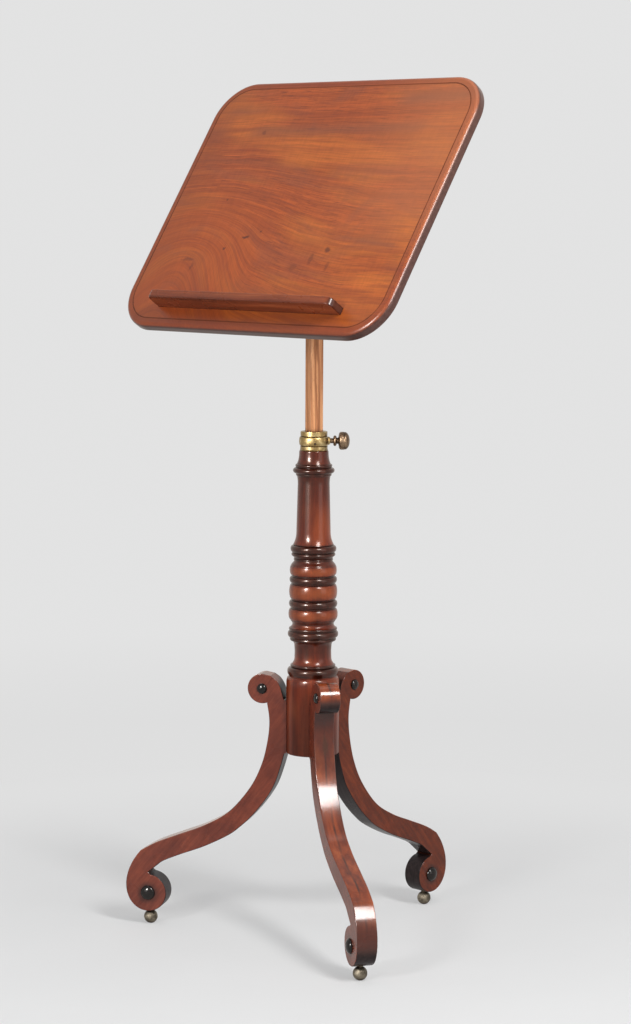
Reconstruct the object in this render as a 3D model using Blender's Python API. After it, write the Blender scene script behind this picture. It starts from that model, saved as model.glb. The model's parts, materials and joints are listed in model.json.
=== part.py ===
# Tilting reading table: a sloping board on a telescopic stem, a ring-turned column and three scroll legs.
# Metres, +Z up, the reader stands on the -Y side. The floor is z = 0 and the origin is under the middle
# of the whole table.
import math

import bmesh
import bpy
from mathutils import Matrix, Vector

# Fits shared by all pieces
GAP = 0.0003              # air between two pieces that touch
OVERRUN = 0.004           # how far a cutter runs past what it cuts
WELD = 0.000001           # points nearer than this are one point
SHARP_DEGREES = 35        # edges sharper than this stay crisp

# Column
COLUMN_TOP = 0.673        # shoulder that the brass collar sits on
COLUMN_FOOT = 0.256       # underside of the column above the floor
BASE_RADIUS = 0.0363      # plain drum that the legs are keyed into
BASE_EDGE = 0.001
SPIGOT_RADIUS = 0.016     # thin neck inside the collar
SPIGOT_RISE = 0.0229
BORE_RADIUS = 0.0134
BORE_FLOOR = 0.345        # bottom of the bore above the floor
COLUMN_SIDES = 24

# Turned members of the column, from the shoulder down to the drum. Each row is the kind of curve, the
# height where it ends as a share of COLUMN_TOP, the radius there as a share of BASE_RADIUS, and for a
# bead or bulb the radius of its crest as a share of BASE_RADIUS.
member_shares = (
    ("line", 1.0000, 0.520),
    ("round", 0.9967, 0.553),
    ("sweep", 0.9725, 0.638),
    ("bead", 0.9667, 0.680, 0.692),
    ("line", 0.9652, 0.672),
    ("bead", 0.9539, 0.678, 0.782),
    ("bead", 0.9483, 0.632, 0.670),
    ("hollow", 0.9316, 0.600),
    ("line", 0.8380, 0.645),
    ("sweep", 0.8088, 0.766),
    ("line", 0.8077, 0.744),
    ("bead", 0.7935, 0.782, 0.864),
    ("line", 0.7923, 0.776),
    ("bead", 0.7854, 0.774, 0.826),
    ("line", 0.7807, 0.716),
    ("bead", 0.7768, 0.722, 0.741),
    ("ogee", 0.7660, 0.843),
    ("bulb", 0.7465, 0.807, 0.884),
    ("line", 0.7441, 0.807),
    ("bead", 0.7311, 0.826, 0.893),
    ("line", 0.7287, 0.815),
    ("bulb", 0.6981, 0.829, 0.906),
    ("line", 0.6957, 0.815),
    ("bead", 0.6814, 0.840, 0.912),
    ("line", 0.6790, 0.837),
    ("bulb", 0.6557, 0.854, 0.929),
    ("ogee", 0.6475, 0.782),
    ("sweep", 0.6392, 0.887),
    ("bead", 0.6342, 0.876, 0.909),
    ("line", 0.6327, 0.876),
    ("bead", 0.6196, 0.876, 0.953),
    ("line", 0.6181, 0.854),
    ("bead", 0.6119, 0.788, 0.871),
    ("hollow", 0.6010, 0.702),
    ("line", 0.5914, 0.691),
    ("line", 0.5795, 0.697),
    ("sweep", 0.5637, 0.810),
    ("bead", 0.5596, 0.843, 0.851),
    ("line", 0.5581, 0.826),
    ("bead", 0.5418, 0.909, 0.967),
    ("line", 0.5394, 0.904),
    ("round", 0.5260, 1.000),
)
# Points laid along each kind of curve
LINE_STEPS = 1
ROUND_STEPS = 2
SWEEP_STEPS = 3
HOLLOW_STEPS = 2
OGEE_STEPS = 2
BEAD_STEPS = 3
BULB_STEPS = 5
curve_steps = {"line": LINE_STEPS, "round": ROUND_STEPS, "sweep": SWEEP_STEPS, "hollow": HOLLOW_STEPS,
               "ogee": OGEE_STEPS, "bead": BEAD_STEPS, "bulb": BULB_STEPS}
sweep_power_share = 2.5   # power of the share along a sweep or a hollow

# Legs, in the leg's own plane: x outwards from the column's axis, z up
LEG_THICKNESS = 0.028
LEG_EDGE = 0.0010
TOP_SCROLL_OUT = 0.0684   # centre of the upper scroll
TOP_SCROLL_UP = 0.3437
TOP_SCROLL_RADIUS = 0.0205
FOOT_SCROLL_OUT = 0.2330  # centre of the scroll at the foot
FOOT_SCROLL_RADIUS = 0.0263
VOLUTE_START = 0.00062    # the foot's outer line leaves its circle as a growing spiral
volute_growth_share = 1.36   # growth of the spiral for each radian of its turn
THROAT = 0.0026           # slit between the foot scroll and the underside of the leg
LEG_ROOT = 0.028          # the leg blank reaches this far in before it is scribed to the drum
LEG_SEAT_TOP = 0.326      # top of the stretch that bears on the drum
# Places between the two scroll centres: share outwards, share upwards
back_shares = ((-0.063, 0.853), (-0.049, 0.761), (0.002, 0.646), (0.105, 0.530), (0.289, 0.411),
               (0.502, 0.340), (0.714, 0.292), (0.927, 0.244))
under_shares = ((0.957, 0.117), (0.917, 0.135), (0.860, 0.158), (0.714, 0.193), (0.502, 0.239),
                (0.292, 0.299), (0.186, 0.344), (0.083, 0.399), (-0.015, 0.465), (-0.100, 0.540),
                (-0.154, 0.621), (-0.196, 0.702))
shoulder_shares = ((-0.189, 0.953), (-0.173, 0.982), (-0.158, 1.010), (-0.119, 1.043), (-0.069, 1.062))
NOTCH_DEGREES = -110      # where the upper scroll's circle runs into the back of the leg
VOLUTE_DEGREES = 80       # where the back of the leg runs into the spiral
THROAT_DEGREES = 97       # where the foot scroll's circle ends under the leg
SCROLL_STEPS = 10
KEY_DEPTH = 0.0138        # sliding dovetail into the drum
KEY_NECK = 0.0090
KEY_ROOT = 0.0130
KEY_RISE = 0.064

# Bosses on both sides of each scroll
TOP_BOSS_RADIUS = 0.0071
TOP_BOSS_RISE = 0.0040
FOOT_BOSS_RADIUS = 0.0102
FOOT_BOSS_RISE = 0.0056
PEG_RADIUS = 0.0030
PEG_LENGTH = 0.0110
BOSS_SIDES = 12

# Ball feet
BALL_RADIUS = 0.0096
BALL_FLAT = 0.0024        # radius of the worn flat that rests on the floor
FOOT_NECK_RADIUS = 0.0040
FOOT_HEIGHT = 0.0197      # floor to the top of the neck
FOOT_SHANK_RADIUS = 0.0025
FOOT_SHANK_LENGTH = 0.0120
FOOT_SIDES = 14
BALL_STEPS = 7

# Brass collar, a cap over the column's spigot
COLLAR_RISE = 0.0257
COLLAR_WALL_RADIUS = 0.0202
COLLAR_LIP = 0.0025
# Height as a share of COLLAR_RISE and radius as a share of COLLAR_WALL_RADIUS, from the bottom up
band_shares = ((0.000, 0.936), (0.035, 0.950), (0.060, 0.921), (0.210, 0.921), (0.232, 0.891),
               (0.262, 0.950), (0.350, 0.987), (0.485, 1.000), (0.620, 0.987), (0.705, 0.950),
               (0.730, 0.881), (0.765, 0.906), (0.950, 0.906), (1.000, 0.866))
SCREW_RISE = 0.0127       # screw's axis above the foot of the collar
SCREW_TURN_DEGREES = 45   # direction of the thumb screw, from +X
BOSS_BASE_RADIUS = 0.0056
BOSS_TIP_RADIUS = 0.0045
BOSS_REACH = 0.0220       # end of the collar's screw boss from the column's axis
COLLAR_PIN_RADIUS = 0.0014
COLLAR_PIN_RISE = 0.0097
COLLAR_PIN_REACH = 0.0200
COLLAR_PIN_LENGTH = 0.0054
collar_pin_degrees = (-41, 139)

# Thumb screw, turned; lengths are distances from the column's axis
SCREW_RADIUS = 0.0030
SHOE_RADIUS = 0.0044
SHOE_THICKNESS = 0.0025
SHOE_TRAVEL = 0.0020
KNOB_REACH = 0.0486
KNOB_RADIUS = 0.0122
# Distance along the visible part as a share of its length, radius as a share of KNOB_RADIUS
knob_shares = ((0.000, 0.287), (0.140, 0.287), (0.165, 0.480), (0.200, 0.590), (0.255, 0.600),
               (0.300, 0.480), (0.330, 0.330), (0.400, 0.350), (0.430, 0.620), (0.490, 0.900),
               (0.545, 1.000), (0.700, 1.000), (0.715, 0.965), (0.740, 0.990), (0.800, 0.965),
               (0.880, 0.780), (0.945, 0.500), (0.985, 0.220), (1.000, 0.000))
KNOB_SIDES = 16

# Telescopic stem and the block on its top
STEM_FLATS = 0.0240       # across the flats of the octagon
STEM_FOOT = 0.550         # lower end of the stem, inside the column
STEM_SIDES = 8
BLOCK_WIDTH = 0.0440
BLOCK_DEPTH = 0.0320
BLOCK_DROP = 0.0400       # underside of the block below the tilt axis
BLOCK_EDGE = 0.0010
TENON_RADIUS = 0.0090
TENON_LENGTH = 0.0240
TILT_AXIS_UP = 0.9842     # tilt axis above the floor
TILT_DEGREES = 56.5       # slope of the board from level

# Board, in its own frame: x along the lower edge, y up the slope, z out of the face, origin on the tilt axis
BOARD_WIDTH = 0.4890
BOARD_DEPTH = 0.4000
BOARD_THICKNESS = 0.0145
BOARD_CORNER = 0.0600
BOARD_FACE = 0.0417       # face of the board in front of the tilt axis
BOARD_FRONT_EDGE = 0.0025
BOARD_BACK_EDGE = 0.0015
STRING_INSET = 0.0114
STRING_WIDTH = 0.0012
STRING_DEPTH = 0.0012
CORNER_STEPS = 8

# Book ledge
LEDGE_LENGTH = 0.3420
LEDGE_STAND = 0.0280      # how far it stands out of the face
LEDGE_THICKNESS = 0.0110
LEDGE_INSET = 0.0295      # lower face of the ledge above the board's lower edge
LEDGE_END_RADIUS = 0.0100
LEDGE_EDGE = 0.0015
ledge_screw_shares = (-0.36, 0.0, 0.36)   # places along the ledge, from its middle

# Bearers under the board
BEARER_LENGTH = 0.2800
BEARER_THICKNESS = 0.0180
BEARER_BELOW_AXIS = 0.0120
BEARER_END_DEPTH = 0.0120
BEARER_FLAT_SHARE = 0.22  # level stretch round the bolt, as a share of the length
BEARER_STEPS = 6
BEARER_EDGE = 0.0010
BLOCK_CLEARANCE = 0.0005
bearer_screw_share = 0.42 # screws from the middle, as a share of the length

# Wood screws
WOOD_SCREW_RADIUS = 0.0020
WOOD_SCREW_HEAD_RADIUS = 0.0040
WOOD_SCREW_HEAD_RISE = 0.0022
WOOD_SCREW_SUNK = 0.0020  # depth of the recess that gives a head a level seat
WOOD_SCREW_BITE = 0.0090  # length in the second piece of wood
SCREW_SIDES = 10

# Tilt bolt, washer and nut
BOLT_RADIUS = 0.0040
BOLT_HEAD_RADIUS = 0.0090
BOLT_HEAD_RISE = 0.0048
WASHER_RADIUS = 0.0100
WASHER_THICKNESS = 0.0015
NUT_LENGTH = 0.0150
NUT_RADIUS = 0.0130
# Distance along the nut as a share of NUT_LENGTH, radius as a share of NUT_RADIUS
nut_shares = ((0.00, 0.62), (0.22, 0.62), (0.30, 0.52), (0.36, 0.90), (0.44, 1.00), (0.72, 1.00),
              (0.80, 0.90), (0.88, 0.56), (1.00, 0.50))
BOLT_TAIL = 0.0020        # bolt past the nut
BOLT_SIDES = 16

# Colours as linear red, green, blue, then roughness and metallic
finishes = {
    "column_wood": ((0.130, 0.030, 0.014), 0.22, 0.0),
    "leg_wood": ((0.150, 0.042, 0.020), 0.30, 0.0),
    "board_wood": ((0.420, 0.130, 0.050), 0.38, 0.0),
    "ledge_wood": ((0.200, 0.052, 0.026), 0.34, 0.0),
    "stem_wood": ((0.360, 0.150, 0.065), 0.40, 0.0),
    "underside_wood": ((0.230, 0.095, 0.045), 0.55, 0.0),
    "ebony": ((0.012, 0.010, 0.010), 0.18, 0.0),
    "dark_line": ((0.055, 0.020, 0.012), 0.40, 0.0),
    "collar_brass": ((0.640, 0.430, 0.170), 0.24, 1.0),
    "aged_brass": ((0.130, 0.098, 0.070), 0.38, 1.0),
    "foot_brass": ((0.170, 0.145, 0.110), 0.40, 1.0),
    "steel": ((0.260, 0.250, 0.240), 0.45, 1.0),
}

LEG_TURNS = {"front_left": -150, "front_right": -30, "rear": 90}
ACROSS = Matrix(((0, 0, 1, 0), (1, 0, 0, 0), (0, 1, 0, 0), (0, 0, 0, 1)))   # turns +Z to +X
UPRIGHT = Matrix.Rotation(math.pi / 2, 4, 'X')                             # turns an outline's y to z
RADIAL = Matrix.Rotation(math.pi / 2, 4, 'Y')                              # turns +Z to +X


def clear_scene():
    for item in list(bpy.data.objects):
        bpy.data.objects.remove(item, do_unlink=True)


def make_materials():
    made = {}
    for name, (colour, roughness, metallic) in finishes.items():
        item = bpy.data.materials.new(name)
        item.use_nodes = True
        shader = item.node_tree.nodes["Principled BSDF"]
        shader.inputs["Base Color"].default_value = (*colour, 1)
        shader.inputs["Roughness"].default_value = roughness
        shader.inputs["Metallic"].default_value = metallic
        item.diffuse_color = (*colour, 1)
        made[name] = item
    return made


def frame_at(name, parent, location=(0, 0, 0), rotation=(0, 0, 0)):
    """An empty that carries pieces, such as the tilt axis."""
    item = bpy.data.objects.new(name, None)
    bpy.context.collection.objects.link(item)
    item.parent = parent
    item.location = location
    item.rotation_euler = rotation
    return item


def place(name, mesh, finish, parent, location=(0, 0, 0), rotation=(0, 0, 0)):
    """A finished piece as an object of its own."""
    item = bpy.data.objects.new(name, mesh)
    bpy.context.collection.objects.link(item)
    if not mesh.materials:
        mesh.materials.append(finish)
    mesh.shade_smooth()
    mesh.set_sharp_from_angle(angle=math.radians(SHARP_DEGREES))
    item.parent = parent
    item.location = location
    item.rotation_euler = rotation
    return item


def to_mesh(name, work):
    bmesh.ops.recalc_face_normals(work, faces=work.faces)
    mesh = bpy.data.meshes.new(name)
    work.to_mesh(mesh)
    work.free()
    return mesh


def turned(name, profile, sides):
    """Spin a profile of (radius, height) points, which starts and ends on the axis."""
    work = bmesh.new()
    ring = [work.verts.new((radius, 0, height)) for radius, height in profile]
    edges = [work.edges.new(pair) for pair in zip(ring, ring[1:])]
    bmesh.ops.spin(work, geom=ring + edges, cent=(0, 0, 0), axis=(0, 0, 1), angle=2 * math.pi,
                   steps=sides, use_merge=True)
    bmesh.ops.remove_doubles(work, verts=work.verts, dist=WELD)
    return to_mesh(name, work)


def slab(name, outline, low, high):
    """Extrude a closed outline of (x, y) points from z = low to z = high."""
    work = bmesh.new()
    face = work.faces.new([work.verts.new((x, y, low)) for x, y in outline])
    grown = bmesh.ops.extrude_face_region(work, geom=[face])
    top = [item for item in grown["geom"] if isinstance(item, bmesh.types.BMVert)]
    bmesh.ops.translate(work, verts=top, vec=(0, 0, high - low))
    return to_mesh(name, work)


def soften(mesh, chosen, width, rows=1):
    """Bevel the edges for which chosen(first point, second point) is true."""
    work = bmesh.new()
    work.from_mesh(mesh)
    edges = [edge for edge in work.edges if chosen(edge.verts[0].co, edge.verts[1].co)]
    bmesh.ops.bevel(work, geom=edges, offset=width, offset_type='OFFSET', segments=rows, profile=0.5,
                    affect='EDGES', clamp_overlap=True)
    bmesh.ops.recalc_face_normals(work, faces=work.faces)
    work.to_mesh(mesh)
    work.free()
    return mesh


def level(height):
    """Choose the edges that lie in the plane z = height."""
    return lambda a, b: abs(a.z - height) < WELD and abs(b.z - height) < WELD


def rod(name, radius, low, high, sides=BOLT_SIDES):
    return turned(name, [(0, low), (radius, low), (radius, high), (0, high)], sides)


def moved(mesh, *matrices):
    """The mesh moved by the matrices, the last one first."""
    whole = Matrix.Identity(4)
    for step in matrices:
        whole = whole @ step
    mesh.transform(whole)
    return mesh


def gather(name, meshes):
    """Separate closed meshes as one cutter."""
    work = bmesh.new()
    for mesh in meshes:
        work.from_mesh(mesh)
        bpy.data.meshes.remove(mesh)
    return to_mesh(name, work)


def combine(mesh, other, operation):
    """Boolean of two meshes, worked out and kept as a plain mesh."""
    body = as_object(mesh)
    tool = as_object(other)
    step = body.modifiers.new("combine", 'BOOLEAN')
    step.operation = operation
    step.solver = 'EXACT'
    step.object = tool
    bpy.context.view_layer.update()
    graph = bpy.context.evaluated_depsgraph_get()
    result = bpy.data.meshes.new_from_object(body.evaluated_get(graph))
    bpy.data.objects.remove(body)
    bpy.data.objects.remove(tool)
    result.name = mesh.name
    return result


def as_object(mesh):
    item = bpy.data.objects.new("work", mesh)
    bpy.context.collection.objects.link(item)
    return item


def about_z(degrees):
    return Matrix.Rotation(math.radians(degrees), 4, 'Z')


def shift(x, y, z):
    return Matrix.Translation((x, y, z))


def octagon(flats):
    corner = flats / 2 / math.cos(math.pi / STEM_SIDES)
    angles = [(2 * k + 1) * math.pi / STEM_SIDES for k in range(STEM_SIDES)]
    return [(corner * math.cos(angle), corner * math.sin(angle)) for angle in angles]


def rounded_rectangle(width, depth, corner):
    """Counter-clockwise outline round the origin."""
    points = []
    for quarter, (sx, sy) in enumerate(((1, 1), (-1, 1), (-1, -1), (1, -1))):
        for step in range(CORNER_STEPS + 1):
            angle = (quarter + step / CORNER_STEPS) * math.pi / 2
            points.append((sx * (width / 2 - corner) + corner * math.cos(angle),
                           sy * (depth / 2 - corner) + corner * math.sin(angle)))
    return points


def arc(x, y, radius, start, end, steps):
    """Points on a circle from start to end, both in degrees."""
    angles = [math.radians(start + (end - start) * k / steps) for k in range(steps + 1)]
    return [(x + radius * math.cos(angle), y + radius * math.sin(angle)) for angle in angles]


def through(points, steps):
    """A smooth curve through the points: Catmull-Rom, with its ends repeated."""
    path = [points[0]] + list(points) + [points[-1]]
    curve = [points[0]]
    for a, b, c, d in zip(path, path[1:], path[2:], path[3:]):
        for k in range(1, steps + 1):
            t = k / steps
            curve.append(tuple(
                (2 * q + (r - p) * t + (2 * p - 5 * q + 4 * r - s) * t ** 2
                 + (3 * q - p - 3 * r + s) * t ** 3) / 2
                for p, q, r, s in zip(a, b, c, d)))
    return curve


def member_point(kind, share, start, end, crest):
    """Radius at a share of the way down one turned member."""
    if kind == "round":
        return start + (end - start) * math.sqrt(1 - (1 - share) ** 2)
    if kind == "sweep":
        return start + (end - start) * share ** sweep_power_share
    if kind == "hollow":
        return end + (start - end) * (1 - share) ** sweep_power_share
    if kind == "ogee":
        return start + (end - start) * (1 - math.cos(math.pi * share)) / 2
    straight = start + (end - start) * share
    if kind in ("bead", "bulb"):
        return straight + (crest - straight) * math.sqrt(1 - (2 * share - 1) ** 2)
    return straight


def turned_members():
    """The column's outer line as (radius, height), from the shoulder down to the drum."""
    line = []
    radius = SPIGOT_RADIUS
    height = COLUMN_TOP
    for kind, height_share, radius_share, *crest_share in member_shares:
        next_height = COLUMN_TOP * height_share
        next_radius = BASE_RADIUS * radius_share
        crest = BASE_RADIUS * crest_share[0] if crest_share else None
        count = curve_steps[kind]
        if kind in ("bead", "bulb"):
            steps = [(1 - math.cos(math.pi * k / (count + 1))) / 2 for k in range(1, count + 1)] + [1]
        else:
            steps = [k / count for k in range(1, count + 1)]
        for share in steps:
            line.append((member_point(kind, share, radius, next_radius, crest),
                         height + (next_height - height) * share))
        radius, height = next_radius, next_height
    return line


def dovetail(name, clearance, low, high):
    """The key of a leg, along +X, or its socket where clearance is given."""
    root = BASE_RADIUS - KEY_DEPTH - clearance
    mouth = BASE_RADIUS + OVERRUN
    slope = (KEY_ROOT - KEY_NECK) / 2 / KEY_DEPTH
    root_half = KEY_ROOT / 2 + clearance
    mouth_half = root_half - slope * (mouth - root)
    outline = [(root, -root_half), (mouth, -mouth_half), (mouth, mouth_half), (root, root_half)]
    return slab(name, outline, low, high)


def column_mesh():
    spigot_top = COLUMN_TOP + SPIGOT_RISE
    profile = [(0, BORE_FLOOR), (BORE_RADIUS, BORE_FLOOR), (BORE_RADIUS, spigot_top),
               (SPIGOT_RADIUS, spigot_top), (SPIGOT_RADIUS, COLUMN_TOP)]
    profile += turned_members()
    profile += [(BASE_RADIUS, COLUMN_FOOT + BASE_EDGE), (BASE_RADIUS - BASE_EDGE, COLUMN_FOOT),
                (0, COLUMN_FOOT)]
    body = turned("column", profile, COLUMN_SIDES)
    sockets = [moved(dovetail("socket", GAP, COLUMN_FOOT - OVERRUN, COLUMN_FOOT + KEY_RISE + GAP),
                     about_z(turn)) for turn in LEG_TURNS.values()]
    body = combine(body, gather("sockets", sockets), 'DIFFERENCE')
    return combine(body, spigot_bores(), 'DIFFERENCE')


def radial_rod(name, radius, near, far, height, degrees, sides=SCREW_SIDES):
    """A rod that points away from the column's axis."""
    return moved(rod(name, radius, near, far, sides), shift(0, 0, height), about_z(degrees), RADIAL)


def spigot_bores():
    """Cutter for the shoe's pocket and the two pins, through the spigot's wall."""
    pocket_end = SPIGOT_RADIUS + GAP + OVERRUN / 2
    shoe = radial_rod("shoe_bore", SHOE_RADIUS + GAP, BORE_RADIUS - OVERRUN / 2, pocket_end,
                      COLUMN_TOP + GAP + SCREW_RISE, SCREW_TURN_DEGREES, KNOB_SIDES)
    pins = [radial_rod("pin_bore", COLLAR_PIN_RADIUS + GAP, COLLAR_PIN_REACH - COLLAR_PIN_LENGTH - GAP,
                       pocket_end, COLUMN_TOP + GAP + COLLAR_PIN_RISE, turn)
            for turn in collar_pin_degrees]
    return gather("spigot_bores", [shoe] + pins)


def collar_mesh():
    """Brass cap with moulded bands, an eight-sided mouth and a boss for the thumb screw."""
    inner = SPIGOT_RADIUS + GAP
    roof = COLLAR_RISE - COLLAR_LIP
    profile = [(0, roof), (inner, roof), (inner, 0)]
    profile += [(COLLAR_WALL_RADIUS * radius, COLLAR_RISE * height) for height, radius in band_shares]
    profile += [(0, COLLAR_RISE)]
    body = turned("collar", profile, COLUMN_SIDES)
    mouth = slab("mouth", octagon(STEM_FLATS + 2 * GAP), roof - OVERRUN, COLLAR_RISE + OVERRUN)
    body = combine(body, mouth, 'DIFFERENCE')
    middle = (inner + COLLAR_WALL_RADIUS) / 2
    boss = turned("boss", [(0, middle), (BOSS_BASE_RADIUS, middle), (BOSS_BASE_RADIUS, COLLAR_WALL_RADIUS),
                           (BOSS_TIP_RADIUS, BOSS_REACH), (0, BOSS_REACH)], KNOB_SIDES)
    turn = about_z(SCREW_TURN_DEGREES)
    body = combine(body, moved(boss, shift(0, 0, SCREW_RISE), turn, RADIAL), 'UNION')
    pocket_floor = shoe_back() + SHOE_TRAVEL + GAP
    pocket = radial_rod("pocket", SHOE_RADIUS + GAP, inner - OVERRUN / 2, pocket_floor, SCREW_RISE,
                        SCREW_TURN_DEGREES, KNOB_SIDES)
    body = combine(body, pocket, 'DIFFERENCE')
    thread = radial_rod("thread", SCREW_RADIUS + GAP, pocket_floor - OVERRUN / 2, BOSS_REACH + OVERRUN,
                        SCREW_RISE, SCREW_TURN_DEGREES, KNOB_SIDES)
    pins = [radial_rod("pin_bore", COLLAR_PIN_RADIUS + GAP, inner - OVERRUN / 2,
                       COLLAR_WALL_RADIUS + OVERRUN, COLLAR_PIN_RISE, turn)
            for turn in collar_pin_degrees]
    return combine(body, gather("collar_bores", [thread] + pins), 'DIFFERENCE')


def shoe_front():
    """Distance from the column's axis to the face of the shoe that presses on the stem."""
    return STEM_FLATS / 2 + GAP


def shoe_back():
    return shoe_front() + SHOE_THICKNESS


def thumb_screw_mesh():
    start = BOSS_REACH + GAP
    visible = KNOB_REACH - start
    tip = shoe_back() + GAP
    profile = [(0, tip), (SCREW_RADIUS, tip), (SCREW_RADIUS, start)]
    profile += [(KNOB_RADIUS * radius, start + visible * along) for along, radius in knob_shares]
    return turned("thumb_screw", profile, KNOB_SIDES)


def leg_place(out_share, up_share):
    """A place between the two scroll centres."""
    foot_up = foot_scroll_up()
    return (TOP_SCROLL_OUT + (FOOT_SCROLL_OUT - TOP_SCROLL_OUT) * out_share,
            foot_up + (TOP_SCROLL_UP - foot_up) * up_share)


def foot_scroll_up():
    return FOOT_HEIGHT + GAP + FOOT_SCROLL_RADIUS


def volute(steps):
    """The foot's outer line, a spiral that closes on the scroll's circle at its lowest point."""
    points = []
    for k in range(steps + 1):
        angle = math.radians(VOLUTE_DEGREES + (-90 - VOLUTE_DEGREES) * k / steps)
        growth = math.exp(volute_growth_share * (angle + math.pi / 2)) - 1
        radius = FOOT_SCROLL_RADIUS + VOLUTE_START * growth
        points.append((FOOT_SCROLL_OUT + radius * math.cos(angle),
                       foot_scroll_up() + radius * math.sin(angle)))
    return points


def leg_outline():
    """Clockwise from the top of the upper scroll, round the foot and back up the inner side."""
    scroll = arc(TOP_SCROLL_OUT, TOP_SCROLL_UP, TOP_SCROLL_RADIUS, 90, NOTCH_DEGREES, SCROLL_STEPS)
    spiral = volute(SCROLL_STEPS)
    back = through([scroll[-1]] + [leg_place(*share) for share in back_shares] + [spiral[0]], 2)
    foot = arc(FOOT_SCROLL_OUT, foot_scroll_up(), FOOT_SCROLL_RADIUS, -90, THROAT_DEGREES - 360, SCROLL_STEPS)
    throat = (FOOT_SCROLL_OUT, foot_scroll_up() + FOOT_SCROLL_RADIUS + THROAT)
    under = through([throat] + [leg_place(*share) for share in under_shares], 1)
    root = [(LEG_ROOT, under[-1][1]), (LEG_ROOT, LEG_SEAT_TOP)]
    shoulder = through([leg_place(*share) for share in shoulder_shares], 1)
    return scroll + back[1:-1] + spiral + foot[1:] + under + root + shoulder


def leg_mesh():
    """One leg along +X, scribed to the drum, with its dovetail key and its bores."""
    half = LEG_THICKNESS / 2
    blank = slab("leg", leg_outline(), -half, half)
    rim = lambda a, b: abs(a.z - b.z) < WELD and min(a.x, b.x) > LEG_ROOT + WELD
    body = moved(soften(blank, rim, LEG_EDGE), UPRIGHT)
    drum = rod("drum", BASE_RADIUS + GAP, COLUMN_FOOT - TOP_SCROLL_RADIUS, TOP_SCROLL_UP, 4 * COLUMN_SIDES)
    body = combine(body, drum, 'DIFFERENCE')
    key = dovetail("key", 0, COLUMN_FOOT, COLUMN_FOOT + KEY_RISE)
    body = combine(body, key, 'UNION')
    bores = [moved(rod("bore", PEG_RADIUS + GAP, -half - OVERRUN, half + OVERRUN, BOSS_SIDES),
                   shift(out, 0, up), UPRIGHT)
             for out, up in ((TOP_SCROLL_OUT, TOP_SCROLL_UP), (FOOT_SCROLL_OUT, foot_scroll_up()))]
    shank_top = FOOT_HEIGHT + FOOT_SHANK_LENGTH
    shank = moved(rod("shank_bore", FOOT_SHANK_RADIUS + GAP, FOOT_HEIGHT - OVERRUN, shank_top + GAP,
                      SCREW_SIDES), shift(FOOT_SCROLL_OUT, 0, 0))
    return combine(body, gather("leg_bores", bores + [shank]), 'DIFFERENCE')


def boss_mesh(name, radius, rise):
    """A polished dome on a peg, standing on z = 0."""
    dome = [(radius * math.cos(k * math.pi / 8), rise * math.sin(k * math.pi / 8)) for k in range(4)]
    profile = [(0, -PEG_LENGTH), (PEG_RADIUS, -PEG_LENGTH), (PEG_RADIUS, GAP)]
    profile += [(r, z + GAP) for r, z in dome] + [(0, rise + GAP)]
    return turned(name, profile, BOSS_SIDES)


def foot_mesh():
    """A ball with a worn flat, a short neck and a screw shank."""
    centre = math.sqrt(BALL_RADIUS ** 2 - BALL_FLAT ** 2)
    low = -math.acos(BALL_FLAT / BALL_RADIUS)
    high = math.acos(FOOT_NECK_RADIUS / BALL_RADIUS)
    ball = [(BALL_RADIUS * math.cos(angle), centre + BALL_RADIUS * math.sin(angle))
            for angle in (low + (high - low) * k / BALL_STEPS for k in range(BALL_STEPS + 1))]
    profile = [(0, 0)] + ball
    profile += [(FOOT_NECK_RADIUS, FOOT_HEIGHT), (FOOT_SHANK_RADIUS, FOOT_HEIGHT),
                (FOOT_SHANK_RADIUS, FOOT_HEIGHT + FOOT_SHANK_LENGTH), (0, FOOT_HEIGHT + FOOT_SHANK_LENGTH)]
    return turned("ball_foot", profile, FOOT_SIDES)


def stem_mesh():
    block_foot = TILT_AXIS_UP - BLOCK_DROP
    shaft = slab("stem", octagon(STEM_FLATS), STEM_FOOT, block_foot - GAP)
    tenon = rod("tenon", TENON_RADIUS, block_foot - TENON_LENGTH, block_foot + TENON_LENGTH)
    return combine(shaft, tenon, 'UNION')


def block_mesh():
    """Block on the stem, round on top about the tilt axis, with bores for the bolt and the tenon."""
    half = BLOCK_DEPTH / 2
    outline = [(-half, -BLOCK_DROP), (half, -BLOCK_DROP)] + arc(0, 0, half, 0, 180, 12)
    side = BLOCK_WIDTH / 2
    blank = slab("pivot_block", outline, -side, side)
    rim = lambda a, b: abs(a.z - b.z) < WELD
    body = moved(soften(blank, rim, BLOCK_EDGE), ACROSS)
    bolt = moved(rod("bolt_bore", BOLT_RADIUS + GAP, -side - OVERRUN, side + OVERRUN), ACROSS)
    socket = rod("socket", TENON_RADIUS + GAP, -BLOCK_DROP - OVERRUN, -BLOCK_DROP + TENON_LENGTH + GAP)
    return combine(body, gather("block_bores", [bolt, socket]), 'DIFFERENCE')


def ring_mesh(name, inset, width, low, high):
    """A band that follows the board's edge at a fixed inset."""
    outer = rounded_rectangle(BOARD_WIDTH - 2 * inset, BOARD_DEPTH - 2 * inset, BOARD_CORNER - inset)
    hole_inset = inset + width
    hole = rounded_rectangle(BOARD_WIDTH - 2 * hole_inset, BOARD_DEPTH - 2 * hole_inset,
                             BOARD_CORNER - hole_inset)
    work = bmesh.new()
    rings = [[work.verts.new((x, y, z)) for x, y in line]
             for line, z in ((outer, low), (outer, high), (hole, high), (hole, low))]
    count = len(outer)
    for first, second in zip(rings, rings[1:] + rings[:1]):
        for k in range(count):
            follower = (k + 1) % count
            work.faces.new((first[k], first[follower], second[follower], second[k]))
    return to_mesh(name, work)


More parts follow.
